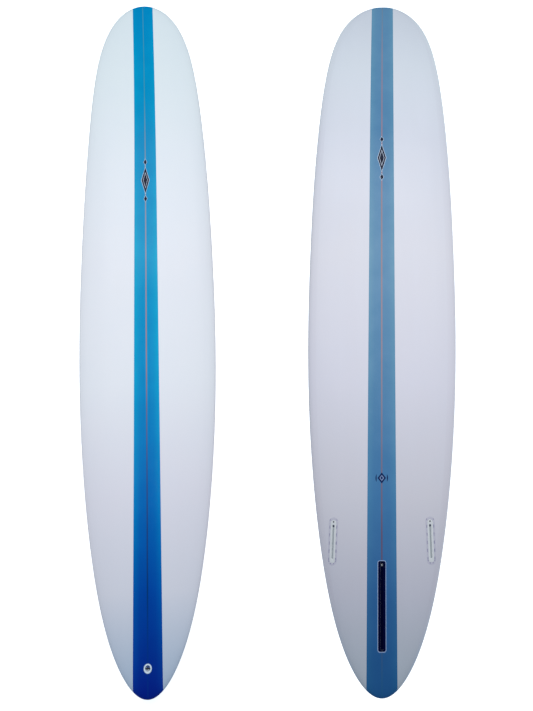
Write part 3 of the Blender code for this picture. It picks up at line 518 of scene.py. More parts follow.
def foam_core():
    look = Look("polyurethane_foam")
    look.use_object_coordinates()
    cells = look.noise(900.0, 4.0, 0.7)
    shade = look.noise(14.0, 3.0, 0.5)
    tone = look.mix(look.remap(shade, 0.3, 0.8, 0.0, 1.0), (0.84, 0.84, 0.81), (0.76, 0.76, 0.72))
    tone = look.mix(look.remap(cells, 0.55, 0.75, 0.0, 0.35), tone, (0.60, 0.60, 0.57))
    return look.finish(tone, 0.88, normal=look.bump(cells, 0.35, 0.0003))


def stringer_wood():
    look = Look("basswood_stringer")
    look.use_object_coordinates()
    grain = look.noise(26.0, 6.0, 0.62, look.scaled(30.0, 0.5, 9.0), distortion=0.6)
    tone = look.ramp(grain, [(0.30, (0.30, 0.17, 0.08)), (0.48, (0.52, 0.34, 0.19)), (0.62, (0.66, 0.47, 0.29)), (0.80, (0.44, 0.28, 0.15))])
    pores = look.noise(420.0, 3.0, 0.6, look.scaled(1.0, 0.06, 1.0))
    tone = look.mix(look.remap(pores, 0.58, 0.76, 0.0, 0.5), tone, (0.18, 0.10, 0.05))
    return look.finish(tone, look.remap(grain, 0.3, 0.8, 0.52, 0.70), normal=look.bump(pores, 0.3, 0.0002))


def patch_cloth():
    look = Look("deck_patch_cloth")
    look.use_object_coordinates()
    weave = look.weave(0.0012)
    tone = look.mix(weave, (0.70, 0.74, 0.78), (0.84, 0.87, 0.90))
    tone = look.mix(look.remap(look.noise(12.0, 3.0, 0.5), 0.3, 0.8, 0.0, 0.2), tone, (0.62, 0.66, 0.72))
    return look.finish(tone, 0.62, normal=look.bump(weave, 0.5, 0.0002))


nodes = frame["nodes"]
for names, material in (
    (("foam_blank_left", "foam_blank_right"), foam_core()),
    (("stringer",), stringer_wood()),
    (("deck_patch",), patch_cloth()),
):
    for name in names:
        nodes[name].data.materials.clear()
        nodes[name].data.materials.append(material)


# ================================================================ building pieces
def link_mesh(name, vertices, faces):
    mesh = bpy.data.meshes.new(name)
    mesh.from_pydata([tuple(v) for v in vertices], [], faces)
    bm = bmesh.new()
    bm.from_mesh(mesh)
    bmesh.ops.recalc_face_normals(bm, faces=bm.faces)
    bm.to_mesh(mesh)
    bm.free()
    obj = bpy.data.objects.new(name, mesh)
    scene.collection.objects.link(obj)
    return obj


def cut_away(obj, cutter):
    """Cuts cutter out of obj for good, and removes the cutter."""
    step = obj.modifiers.new("cut", "BOOLEAN")
    step.operation, step.solver, step.object = "DIFFERENCE", "EXACT", cutter
    bpy.context.view_layer.update()
    result = bpy.data.meshes.new_from_object(obj.evaluated_get(bpy.context.evaluated_depsgraph_get()))
    obj.modifiers.clear()
    old, obj.data = obj.data, result
    result.name = obj.name
    bpy.data.meshes.remove(old)
    bpy.data.objects.remove(cutter)
    tidy = bmesh.new()
    tidy.from_mesh(result)
    bmesh.ops.remove_doubles(tidy, verts=tidy.verts, dist=8e-6)
    bmesh.ops.dissolve_degenerate(tidy, edges=tidy.edges, dist=8e-6)
    tidy.to_mesh(result)
    tidy.free()
    return obj


def piece(obj, materials, slot, body, *stands_for, matrix=None, sharp=38.0):
    """Records each point's place in its own frame, puts the mesh where it belongs and lets it ride on its body."""
    mesh = obj.data
    spot = mesh.attributes.new("place", "FLOAT_VECTOR", "POINT")
    flat = [c for v in mesh.vertices for c in v.co]
    spot.data.foreach_set("vector", flat)
    if matrix is not None:
        mesh.transform(matrix)
    mesh.materials.clear() if len(mesh.materials) else None
    for material in materials if isinstance(materials, (list, tuple)) else [materials]:
        mesh.materials.append(material)
    mesh.shade_smooth()
    mesh.set_sharp_from_angle(angle=math.radians(sharp))
    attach(obj, body)
    if stands_for:
        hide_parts(*stands_for)
    return obj


# ---------------------------------------------------------------- the hull's fine grid
NS, NR = 6, 24  # columns across half the stripe, and from its edge to the rail
RAIL, LAP = NS + NR, NS + 15
STATION_STEP = 0.75
STATIONS = [HALF * math.sin(math.radians(STATION_STEP * k)) for k in range(-119, 120)]


def column_x(y, column):
    w = half_width(y)
    edge = min(STRIPE_WIDTH / 2, 0.98 * w)
    count = abs(column)
    if count <= NS:
        x = edge * count / NS
    else:
        t = (count - NS) / NR
        x = edge + (w - edge) * (1 - (1 - t) ** 2)
    return math.copysign(x, column)


def hull_point(y, column, deck, depth):
    """A point on column, sunk towards the section's middle by depth, less where the section is very thin."""
    x = column_x(y, column)
    up = rise(y, x, deck)
    if depth:
        thick = (1 - RAIL_HEIGHT if deck else RAIL_HEIGHT) * foil(y) * tip_rounding(y)
        most = 0.4 * depth / SKIN
        x *= 1 - min(depth / half_width(y), most)
        up *= 1 - min(depth / thick, most)
    return (x, y, rail_line(y) + up)


def hull_loft(name, path):
    """A closed shell whose cross-section is path, a closed list of (column, deck, depth), drawn to a point at each tip."""
    vertices, faces, n = [], [], len(path)
    for y in STATIONS:
        vertices.extend(hull_point(y, *step) for step in path)
    for i in range(len(STATIONS) - 1):
        for j in range(n):
            a, b = i * n + j, i * n + (j + 1) % n
            faces.append((a, b, b + n, a + n))
    for end, y in ((0, -HALF), (len(STATIONS) - 1, HALF)):
        vertices.append((0.0, y, rail_line(y)))
        tip = len(vertices) - 1
        faces.extend((end * n + j, end * n + (j + 1) % n, tip) for j in range(n))
    return link_mesh(name, vertices, faces)


stripe = list(range(-NS, NS + 1))
left_deck, right_deck = list(range(-RAIL, -NS)), list(range(NS + 1, RAIL + 1))
deck_path = [(-c, False, 0.0) for c in range(LAP, RAIL)]
deck_path += [(c, True, 0.0) for c in left_deck] + [(-NS, True, 0.0)]
deck_path += [(c, True, TINT_SEAT) for c in stripe]
deck_path += [(NS, True, 0.0)] + [(c, True, 0.0) for c in right_deck]
deck_path += [(c, False, 0.0) for c in range(RAIL - 1, LAP - 1, -1)]
deck_path += [(c, False, SKIN) for c in range(LAP, RAIL)]
deck_path += [(c, True, SKIN) for c in range(RAIL, -RAIL - 1, -1)]
deck_path += [(-c, False, SKIN) for c in range(RAIL - 1, LAP - 1, -1)]
deck_skin = hull_loft("deck_laminate_skin", deck_path)

bottom_path = [(c, False, 0.0) for c in range(-LAP, -NS + 1)]
bottom_path += [(c, False, TINT_SEAT) for c in stripe]
bottom_path += [(c, False, 0.0) for c in range(NS, LAP + 1)]
bottom_path += [(c, False, SKIN) for c in range(LAP, -LAP - 1, -1)]
bottom_skin = hull_loft("bottom_laminate_skin", bottom_path)

deck_blue = hull_loft("deck_stripe_tint", [(c, True, 0.0) for c in stripe] + [(c, True, TINT) for c in reversed(stripe)])
bottom_blue = hull_loft("bottom_stripe_tint", [(c, False, 0.0) for c in stripe] + [(c, False, TINT) for c in reversed(stripe)])

# ---------------------------------------------------------------- outlines and turned shapes for the fittings
SIDE_STEPS, END_STEPS, CORNER_STEPS = 28, 3, 8


def outline(width, length, radius, middle=0.0):
    """Points round a rounded rectangle, the same number and order for every size, so that outlines can be joined."""
    radius = min(radius, width / 2 - 1e-5, length / 2 - 1e-5)
    hx, hy = width / 2 - radius, length / 2 - radius
    points = []
    for quarter, (sx, sy) in enumerate(((1, 1), (-1, 1), (-1, -1), (1, -1))):
        for k in range(CORNER_STEPS + 1):
            a = math.radians(90 * quarter + 90 * k / CORNER_STEPS)
            points.append((sx * hx + radius * math.cos(a), sy * hy + radius * math.sin(a)))
        steps = END_STEPS if quarter % 2 == 0 else SIDE_STEPS
        a = math.radians(90 * (quarter + 1))
        next_sx, next_sy = ((-1, 1), (-1, -1), (1, -1), (1, 1))[quarter]
        x0, y0 = points[-1]
        x1, y1 = next_sx * hx + radius * math.cos(a), next_sy * hy + radius * math.sin(a)
        for k in range(1, steps):
            points.append((x0 + (x1 - x0) * k / steps, y0 + (y1 - y0) * k / steps))
    return [(x, y + middle) for x, y in points]


def circle(radius, count, middle=0.0, turn=0.0):
    return [(radius * math.cos(math.tau * k / count + turn), middle + radius * math.sin(math.tau * k / count + turn)) for k in range(count)]


def polygon(radius, sides, count, turn=0.0):
    """A regular polygon sampled at count points, to join with a circle of as many."""
    points = []
    for k in range(count):
        a = math.tau * k / count
        part = math.tau / sides
        inner = (a + part / 2) % part - part / 2
        r = radius * math.cos(part / 2) / math.cos(((a % part) - part / 2))
        points.append((r * math.cos(a + turn), r * math.sin(a + turn)))
    return points


def loops_mesh(name, loops, closed=False, shape=None):
    """Joins loops of (points, z) in turn. Ends are capped unless closed, which joins the last loop to the first."""
    vertices, faces, n = [], [], len(loops[0][0])
    for points, z in loops:
        vertices.extend((x, y, z) for x, y in points)
    pairs = [(i, i + 1) for i in range(len(loops) - 1)] + ([(len(loops) - 1, 0)] if closed else [])
    for i, k in pairs:
        for j in range(n):
            a, b = i * n + j, i * n + (j + 1) % n
            faces.append((a, b, k * n + (j + 1) % n, k * n + j))
    if not closed:
        for i in (0, len(loops) - 1):
            points, z = loops[i]
            vertices.append((sum(p[0] for p in points) / n, sum(p[1] for p in points) / n, z))
            tip = len(vertices) - 1
            faces.extend((i * n + j, i * n + (j + 1) % n, tip) for j in range(n))
    if shape is not None:
        vertices = [shape(Vector(v)) for v in vertices]
    return link_mesh(name, vertices, faces)


def follow_hull(matrix, deck):
    """Moves points near a fitting's top onto the hull's curve, so that its rim lies flush along its whole length."""
    inverse = matrix.inverted()

    def shape(v):
        world = matrix @ Vector((v.x, v.y, 0.0))
        skin = inverse @ Vector((world.x, world.y, surface(world.y, world.x, deck)))
        fade = min(max((v.z + 0.0065) / 0.0040, 0.0), 1.0)
        return Vector((v.x, v.y, v.z + skin.z * fade))

    return shape


def soft_rim(points_at, z_top, radius, inward):
    """Three loops that round an edge: points_at(grow) gives the outline grown by grow metres."""
    loops = []
    for k in range(4):
        a = math.radians(30 * k)
        # inward: from the wall up to the top; otherwise from the top down into a hole
        grow = -radius * (1 - math.cos(a)) if inward else radius * (1 - math.sin(a))
        drop = radius * (1 - math.sin(a)) if inward else radius * (1 - math.cos(a))
        loops.append((points_at(grow), z_top - drop))
    return loops


# ---------------------------------------------------------------- holes for the fittings
def hole_cutter(matrix, points, depth=0.004):
    cutter = loops_mesh("hole", [(points, 0.006), (points, -depth)])
    cutter.data.transform(matrix)
    return cutter


CLEAR = 0.00006
mouth = outline(CENTER_WIDTH + 2 * (BEAD_WIDTH + CLEAR), CENTER_LENGTH + 2 * (BEAD_WIDTH + CLEAR), CENTER_CORNER + BEAD_WIDTH + CLEAR)
cut_away(bottom_skin, hole_cutter(CENTER_FRAME, mouth))
cut_away(bottom_blue, hole_cutter(CENTER_FRAME, mouth))
for side_frame in SIDE_FRAMES.values():
    cut_away(bottom_skin, hole_cutter(side_frame, outline(HALO_WIDTH + 2 * CLEAR, HALO_LENGTH + 2 * CLEAR, HALO_WIDTH / 2 + CLEAR)))
for skin in (deck_skin, deck_blue):
    cut_away(skin, hole_cutter(PLUG_FRAME, circle(PLUG_RESIN_R + CLEAR, 96)))

under = deck_skin.data.attributes.new("under", "FLOAT", "POINT")
under.data.foreach_set("value", [min(max((rail_line(v.co.y) - v.co.z) / 0.012, 0.0), 1.0) for v in deck_skin.data.vertices])
piece(deck_skin, deck_glass, "deck_glass", "board", "deck_laminate", sharp=50)
piece(bottom_skin, bottom_glass, "bottom_glass", "board", "bottom_laminate", sharp=50)
piece(deck_blue, deck_tint, "deck_tint", "board", "deck_stripe", sharp=50)
piece(bottom_blue, bottom_tint, "bottom_tint", "board", "bottom_stripe", sharp=50)


# ---------------------------------------------------------------- printed motifs under the gloss
def blade(y0, y1, left, right, lift, deck, rows=28, cols=4):
    """A thin printed shape lying on the hull between two edges, as vertices and faces."""
    sign, vertices, faces = (1 if deck else -1), [], []
    for layer in (lift, -0.0001 - lift):
        for i in range(rows + 1):
            y = y0 + (y1 - y0) * i / rows
            a, b = left(y), right(y)
            if b - a < 0.0002:
                a, b = (a + b) / 2 - 0.0001, (a + b) / 2 + 0.0001
            for j in range(cols + 1):
                x = a + (b - a) * j / cols
                vertices.append((x, y, surface(y, x, deck) + sign * layer))
    n, m = cols + 1, (rows + 1) * (cols + 1)
    for i in range(rows):
        for j in range(cols):
            a = i * n + j
            faces.append((a, a + 1, a + n + 1, a + n))
            faces.append((m + a + n, m + a + n + 1, m + a + 1, m + a))
    edge = [j for j in range(n)] + [i * n + cols for i in range(1, rows + 1)]
    edge += [rows * n + j for j in range(cols - 1, -1, -1)] + [i * n for i in range(rows - 1, 0, -1)]
    for a, b in zip(edge, edge[1:] + edge[:1]):
        faces.append((a, b, m + b, m + a))
    return vertices, faces


def lozenge(cx, cy, half_x, half_y, lift, deck, rows=28):
    def reach(y):
        return half_x * max(1 - abs(y - cy) / half_y, 0.0)

    return blade(cy - half_y, cy + half_y, lambda y: cx - reach(y), lambda y: cx + reach(y), lift, deck, rows)


def leaf(cx, cy, half_x, half_y, lift, deck, bend=0.0):
    """A slim blade with pointed ends, bowed sideways by bend."""
    def centre(y):
        return cx + bend * (1 - ((y - cy) / half_y) ** 2)

    def reach(y):
        return half_x * max(1 - ((y - cy) / half_y) ** 2, 0.0)

    return blade(cy - half_y, cy + half_y, lambda y: centre(y) - reach(y), lambda y: centre(y) + reach(y), lift, deck)


def motif(name, shapes, materials, stands_for):
    vertices, faces, index = [], [], []
    for (v, f), material in shapes:
        start = len(vertices)
        vertices.extend(v)
        faces.extend(tuple(start + i for i in face) for face in f)
        index.extend([material] * len(f))
    mesh = bpy.data.meshes.new(name)
    mesh.from_pydata(vertices, [], faces)
    mesh.polygons.foreach_set("material_index", index)
    bm = bmesh.new()
    bm.from_mesh(mesh)
    bmesh.ops.recalc_face_normals(bm, faces=bm.faces)
    bm.to_mesh(mesh)
    bm.free()
    obj = bpy.data.objects.new(name, mesh)
    scene.collection.objects.link(obj)
    slots = [p.material_index for p in mesh.polygons]
    piece(obj, materials, "decal_paper", "board", stands_for)
    mesh.polygons.foreach_set("material_index", slots)
    return obj


def long_motif(cy, deck):
    """Generic printed motif, the same end for end: nested long diamonds on the centreline, with a small one beyond each end."""
    shapes = []
    for half_x, half_y, lift, ink in ((0.0190, 0.0680, 0.00006, 1), (0.0174, 0.0640, 0.00009, 0), (0.0104, 0.0390, 0.00012, 1), (0.0090, 0.0345, 0.00015, 0)):
        shapes.append((lozenge(0, cy, half_x, half_y, lift, deck), ink))
    for away in (-0.0900, 0.0900):
        for half_x, half_y, lift, ink in ((0.0086, 0.0170, 0.00006, 1), (0.0074, 0.0146, 0.00009, 0)):
            shapes.append((lozenge(0, cy + away, half_x, half_y, lift, deck, 14), ink))
    return shapes


motif("deck_motif", long_motif(DECK_DECAL_Y, True), [ink_dark, ink_pale], "deck_decal")
motif("bottom_motif", long_motif(BOTTOM_DECAL_Y, False), [ink_dark, ink_pale], "bottom_decal")
motif("tail_motif", [(lozenge(0.0, TAIL_DECAL_Y, 0.0150, 0.0180, 0.00006, False, 16), 0),
                     (lozenge(0.0, TAIL_DECAL_Y, 0.0078, 0.0094, 0.00010, False, 14), 1),
                     (lozenge(0.0, TAIL_DECAL_Y, 0.0050, 0.0060, 0.00013, False, 12), 0),
                     (leaf(-0.0185, TAIL_DECAL_Y, 0.0020, 0.0130, 0.00010, False, -0.0015), 0),
                     (leaf(0.0185, TAIL_DECAL_Y, 0.0020, 0.0130, 0.00010, False, 0.0015), 0)],
      [ink_blue, bead_resin], "tail_decal")

# ---------------------------------------------------------------- centre fin box
center_shape = follow_hull(CENTER_FRAME, False)


def center_outline(grow):
    return outline(CENTER_WIDTH + 2 * grow, CENTER_LENGTH + 2 * grow, CENTER_CORNER + grow)


def center_slot_outline(grow):
    return outline(SLOT_WIDTH + 2 * grow, SLOT_LENGTH + 2 * grow, SLOT_WIDTH / 2 + grow)


groove = outline(GROOVE_WIDTH, SLOT_LENGTH + 0.0010, SLOT_WIDTH / 2)
center_loops = [(center_outline(-0.0010), -CENTER_DEPTH), (center_outline(0.0), -CENTER_DEPTH + 0.0010), (center_outline(0.0), -0.0060), (center_outline(0.0), -0.0020)]
center_loops += soft_rim(center_outline, 0.0, 0.0006, True)
center_loops += [(outline(CENTER_WIDTH * 0.66, SLOT_LENGTH + 0.0040, SLOT_WIDTH * 0.7), 0.0)]
center_loops += soft_rim(center_slot_outline, 0.0, 0.0005, False)
center_loops += [(center_slot_outline(0.0), -0.0020), (center_slot_outline(0.0), -0.0065), (center_slot_outline(0.0), -GROOVE_TOP), (groove, -GROOVE_TOP - 0.0002),
                 (groove, -GROOVE_UNDER + 0.0002), (center_slot_outline(0.0), -GROOVE_UNDER), (center_slot_outline(0.0), -SLOT_DEPTH + 0.0008),
                 (center_slot_outline(-0.0008), -SLOT_DEPTH)]
center_box = loops_mesh("center_fin_box_fine", center_loops, shape=center_shape)
piece(center_box, box_plastic, "box_plastic", "board", "center_fin_box", matrix=CENTER_FRAME)

bead_loops = [(center_outline(CLEAR), -BEAD_DEPTH), (center_outline(BEAD_WIDTH), -BEAD_DEPTH), (center_outline(BEAD_WIDTH), -0.0005),
              (center_outline(BEAD_WIDTH - 0.0002), 0.00000), (center_outline(BEAD_WIDTH * 0.6), 0.00012), (center_outline(BEAD_WIDTH * 0.3), 0.00010),
              (center_outline(CLEAR + 0.0002), -0.00004), (center_outline(CLEAR), -0.0004)]
bead = loops_mesh("center_box_bead", bead_loops, closed=True, shape=center_shape)
piece(bead, bead_resin, "clear_resin", "board", "center_box_resin", matrix=CENTER_FRAME)

# the plate in the channel, with the screw's hole through it
plate_mid = -(GROOVE_TOP + GROOVE_UNDER) / 2


def plate_outline(grow):
    return outline(PLATE_ACROSS + 2 * grow, PLATE_ALONG + 2 * grow, 0.0012 + max(grow, -0.001))


def like(points, radius):
    return [(radius * x / math.hypot(x, y), radius * y / math.hypot(x, y)) for x, y in points]


top, low = plate_mid + PLATE_THICK / 2, plate_mid - PLATE_THICK / 2
hole = like(plate_outline(0.0), FIN_SCREW_R + 0.0003)
hole_wide = like(plate_outline(0.0), FIN_SCREW_R + 0.0006)
plate_loops = [(plate_outline(-0.0003), low), (plate_outline(0.0), low + 0.0003), (plate_outline(0.0), top - 0.0003), (plate_outline(-0.0003), top),
               (hole_wide, top), (hole, top - 0.0003), (hole, low + 0.0003), (hole_wide, low)]
plate = loops_mesh("fin_plate_fine", plate_loops, closed=True)
piece(plate, shaded_steel, "stainless", "fin_plate", "fin_plate", matrix=SCREW_FRAME)


def threaded(count, radius, z_from, z_to, pitch, height, step=0.00012):
    """Loops down a shank whose radius follows a helix, run out smoothly at both ends."""
    loops, steps = [], int(round((z_from - z_to) / step))
    for i in range(steps + 1):
        z = z_from + (z_to - z_from) * i / steps
        fade = min(1.0, 4 * i / steps, 4 * (steps - i) / steps)
        points = []
        for k in range(count):
            phase = (z / pitch - k / count) % 1.0
            r = radius - height * fade * abs(2 * phase - 1)
            points.append((r * math.cos(math.tau * k / count), r * math.sin(math.tau * k / count)))
        loops.append((points, z))
    return loops


N = 48
head_top, head_low, tip = -0.0026, -0.0052, -0.0190
def cross(arm, half, count, turn=math.radians(45)):
    """The outline of a cross recess, sampled at count points to join with a circle of as many."""
    points = []
    for k in range(count):
        a = math.tau * k / count
        fold = (a + math.pi / 4) % (math.pi / 2) - math.pi / 4
        r = min(arm / math.cos(fold), half / max(abs(math.sin(fold)), 1e-6))
        points.append((r * math.cos(a + turn), r * math.sin(a + turn)))
    return points


screw_loops = [(cross(0.0008, 0.00025, N), head_top - 0.0014), (cross(0.0014, 0.00042, N), head_top - 0.0011), (cross(0.0021, 0.00052, N), head_top - 0.00024),
               (cross(0.00218, 0.00060, N), head_top - 0.00014), (circle(0.0024, N), head_top - 0.00020), (circle(0.0030, N), head_top - 0.00052),
               (circle(0.00345, N), head_top - 0.0010), (circle(FIN_HEAD_R, N), head_top - 0.0016), (circle(FIN_HEAD_R, N), head_low + 0.0002),
               (circle(FIN_HEAD_R - 0.0002, N), head_low), (circle(FIN_SCREW_R + 0.0002, N), head_low), (circle(FIN_SCREW_R, N), head_low - 0.0003)]
screw_loops += threaded(N, FIN_SCREW_R, head_low - 0.0008, tip + 0.0016, 0.0007, 0.00030)
screw_loops += [(circle(FIN_SCREW_R * 0.45, N), tip)]
fin_screw = loops_mesh("fin_screw_fine", screw_loops)
piece(fin_screw, steel, "stainless", "fin_screw", "fin_screw", matrix=SCREW_FRAME)

# ---------------------------------------------------------------- side fin boxes
SLOT_MIDDLE, SLOT_RUN = (SIDE_SLOT_FRONT + SIDE_SLOT_REAR) / 2, SIDE_SLOT_FRONT - SIDE_SLOT_REAR
HOLE_MIDDLE = SIDE_SLOT_FRONT - SIDE_HOLE_R


def side_outline(grow):
    return outline(SIDE_WIDTH + 2 * grow, SIDE_LENGTH + 2 * grow, SIDE_WIDTH / 2 + grow)


def side_slot(grow):
    return outline(SIDE_SLOT_WIDTH + 2 * grow, SLOT_RUN + 2 * grow, SIDE_SLOT_WIDTH / 2 + grow, SLOT_MIDDLE)


def keyhole(grow):
    """The slot with the round relief hole at its front end."""
    points = []
    for x, y in side_slot(grow):
        reach = SIDE_HOLE_R + grow
        dx, dy = x, y - HOLE_MIDDLE
        if dy > 0:
            d = math.hypot(dx, dy)
            x, y = dx / d * reach, HOLE_MIDDLE + dy / d * reach
        elif abs(dy) < reach and abs(dx) < math.sqrt(reach**2 - dy**2):
            x = math.copysign(math.sqrt(reach**2 - dy**2), dx)
        points.append((x, y))
    return points


for name, matrix in SIDE_FRAMES.items():
    shape = follow_hull(matrix, False)
    loops = [(side_outline(-0.0010), -SIDE_DEPTH), (side_outline(0.0), -SIDE_DEPTH + 0.0010), (side_outline(0.0), -0.0060), (side_outline(0.0), -0.0020)]
    loops += soft_rim(side_outline, 0.0, 0.0005, True)
    loops += soft_rim(keyhole, 0.0, 0.0004, False)
    loops += [(keyhole(0.0), -0.0020), (keyhole(0.0), -SIDE_HOLE_DEPTH), (side_slot(-0.00002), -SIDE_HOLE_DEPTH - 0.0001),
              (side_slot(0.0), -SIDE_SLOT_DEPTH + 0.0006), (side_slot(-0.0006), -SIDE_SLOT_DEPTH)]
    box = loops_mesh(name + "_side_fin_box_fine", loops, shape=shape)
    thread = loops_mesh("thread", [(circle(SIDE_SCREW_R + 0.0006, 48, SIDE_SCREW_Y), 0.002), (circle(SIDE_SCREW_R + 0.0006, 48, SIDE_SCREW_Y), 0.0002),
                                   (circle(SIDE_SCREW_R + 0.0002, 48, SIDE_SCREW_Y), -0.0003),
                                   (circle(SIDE_SCREW_R + 0.0002, 48, SIDE_SCREW_Y), -SIDE_SCREW_LENGTH - 0.0012)])
    cut_away(box, thread)
    piece(box, side_plastic, "side_box_plastic", "board", name + "_side_fin_box", matrix=matrix)

    def halo_outline(grow):
        return outline(HALO_WIDTH + 2 * grow, HALO_LENGTH + 2 * grow, HALO_WIDTH / 2 + grow)

    between = [outline(SIDE_WIDTH + (HALO_WIDTH - SIDE_WIDTH) * s, SIDE_LENGTH + (HALO_LENGTH - SIDE_LENGTH) * s, 1.0) for s in (0.35, 0.7)]
    loops = [(side_outline(CLEAR), -HALO_DEPTH), (halo_outline(0.0), -HALO_DEPTH), (halo_outline(0.0), -0.0004), (halo_outline(-0.00015), -0.00002),
             (between[1], 0.00006), (between[0], 0.00006), (side_outline(CLEAR + 0.00025), -0.00002), (side_outline(CLEAR), -0.0004)]
    halo = loops_mesh(name + "_side_box_halo", loops, closed=True, shape=shape)
    piece(halo, halo_resin, "clear_resin", "board", name + "_side_box_resin", matrix=matrix)

    seat = matrix @ Matrix.Translation((0, SIDE_SCREW_Y, 0))
    top = -0.0008
    hexagon = polygon(0.0014, 6, 48)
    loops = [(polygon(0.0004, 6, 48), top - 0.0030), (hexagon, top - 0.0028), (hexagon, top - 0.0002), (polygon(0.0016, 6, 48), top),
             (circle(SIDE_SCREW_R - 0.0004, 48), top), (circle(SIDE_SCREW_R - 0.00005, 48), top - 0.0004)]
    loops += threaded(48, SIDE_SCREW_R, top - 0.0006, top - SIDE_SCREW_LENGTH + 0.0008, 0.0007, 0.00024)
    loops += [(circle(SIDE_SCREW_R * 0.6, 48), top - SIDE_SCREW_LENGTH)]
    grub = loops_mesh(name + "_grub_screw_fine", loops)
    piece(grub, shaded_steel, "stainless", name + "_grub_screw", name + "_grub_screw", matrix=seat)

# ---------------------------------------------------------------- leash plug
plug_shape = follow_hull(PLUG_FRAME, True)
M = 96
cup_profile = [(PLUG_BODY_R - 0.0008, -PLUG_DEPTH), (PLUG_BODY_R, -PLUG_DEPTH + 0.0008), (PLUG_BODY_R, -PLUG_FLANGE), (PLUG_FLANGE_R, -PLUG_FLANGE),
               (PLUG_FLANGE_R, -0.0005), (PLUG_FLANGE_R - 0.0001, -0.0001), (PLUG_FLANGE_R - 0.0004, 0.0001), (0.0117, 0.0003), (0.0103, 0.0002),
               (PLUG_CUP_R + 0.0004, -0.0001), (PLUG_CUP_R + 0.0001, -0.0004), (PLUG_CUP_R, -0.0010), (PLUG_CUP_R - 0.0002, -0.0060)]
for k in range(1, 9):
    a = math.radians(90 * k / 8)
    cup_profile.append(((PLUG_CUP_R - 0.0002) * math.cos(a) ** 0.7 if k < 8 else 0.0006, -0.0060 - (PLUG_CUP_DEPTH - 0.0060) * math.sin(a)))
cup = loops_mesh("leash_plug_cup_fine", [(circle(r, M), z) for r, z in cup_profile], shape=plug_shape)
piece(cup, plug_plastic, "plug_plastic", "board", "leash_plug_cup", matrix=PLUG_FRAME)

reach = PLUG_CUP_R + 0.0012
pin_profile = [(PLUG_PIN_R - 0.0003, -reach), (PLUG_PIN_R, -reach + 0.0003)]
pin_profile += [(PLUG_PIN_R, -reach + 0.0003 + (2 * reach - 0.0006) * k / 8) for k in range(1, 9)] + [(PLUG_PIN_R - 0.0003, reach)]
pin = loops_mesh("leash_plug_pin_fine", [(circle(r, 40), z) for r, z in pin_profile])
pin.data.transform(Matrix.Translation((0, 0, -PLUG_PIN_DEPTH)) @ Matrix.Rotation(math.radians(90), 4, "Y"))
piece(pin, shaded_steel, "stainless", "board", "leash_plug_pin", matrix=PLUG_FRAME)

ring_profile = [(PLUG_FLANGE_R + CLEAR, -PLUG_FLANGE), (PLUG_RESIN_R, -PLUG_FLANGE), (PLUG_RESIN_R, -0.0004), (PLUG_RESIN_R - 0.0002, 0.0),
                (0.0143, 0.00010), (PLUG_FLANGE_R + 0.0003, 0.0), (PLUG_FLANGE_R + CLEAR, -0.0004)]
ring = loops_mesh("leash_plug_ring", [(circle(r, M), z) for r, z in ring_profile], closed=True, shape=plug_shape)
piece(ring, plug_resin, "clear_resin", "board", "leash_plug_resin", matrix=PLUG_FRAME)

# ================================================================ camera
IMAGE_W, IMAGE_H = 533, 711
DECK_VIEW = {"at": (0.354, -0.9568, 3.2), "tilt": 30.306, "focal": 753.3, "px": 218.46, "py": 99.08, "roll": -0.0626}
BOTTOM_VIEW = {"at": (0.059, -1.0998, 3.2), "tilt": 27.489, "focal": 859.5, "px": 395.86, "py": 147.16, "roll": -0.0082}


def axes(view):
    """Rows: right, down and forward, before the picture is rolled."""
    t = math.radians(view["tilt"])
    return Matrix(((1, 0, 0), (0, -math.cos(t), -math.sin(t)), (0, math.sin(t), -math.cos(t))))


def picture(view):
    c, s, f = math.cos(view["roll"]), math.sin(view["roll"]), view["focal"]
    return Matrix(((f * c, -f * s, view["px"]), (f * s, f * c, view["py"]), (0, 0, 1)))


cam_data = bpy.data.cameras.new("camera")
camera = bpy.data.objects.new("camera", cam_data)
scene.collection.objects.link(camera)
scene.camera = camera
right, down, ahead = axes(DECK_VIEW)
c, s = math.cos(DECK_VIEW["roll"]), math.sin(DECK_VIEW["roll"])
right, down = c * right - s * down, s * right + c * down
placed = Matrix((right, -down, -ahead)).transposed().to_4x4()
placed.translation = Vector(DECK_VIEW["at"])
camera.matrix_world = placed
cam_data.sensor_width, cam_data.sensor_fit = 36.0, "AUTO"
cam_data.lens = DECK_VIEW["focal"] * 36.0 / IMAGE_H
cam_data.clip_start, cam_data.clip_end = 0.05, 100.0
AT_HOME = "abs(x - %.4f) < 0.001 and abs(z - %.4f) < 0.001" % (DECK_VIEW["at"][0], DECK_VIEW["at"][2])


def while_at_home(owner, path, index, home, away):
    """owner's property is home while the camera stands where the script puts it, and away in every other view."""
    driver = (owner.driver_add(path, index) if index is not None else owner.driver_add(path)).driver
    driver.type = "SCRIPTED"
    for letter in "xz":
        variable = driver.variables.new()
        variable.name, variable.type = letter, "TRANSFORMS"
        target = variable.targets[0]
        target.id, target.transform_type, target.transform_space = camera, "LOC_" + letter.upper(), "WORLD_SPACE"
    driver.expression = "%.6f if %s else %.6f" % (home, AT_HOME, away)


while_at_home(cam_data, "shift_x", None, (IMAGE_W / 2 - DECK_VIEW["px"]) / IMAGE_H, 0.0)
while_at_home(cam_data, "shift_y", None, (DECK_VIEW["py"] - IMAGE_H / 2) / IMAGE_H, 0.0)

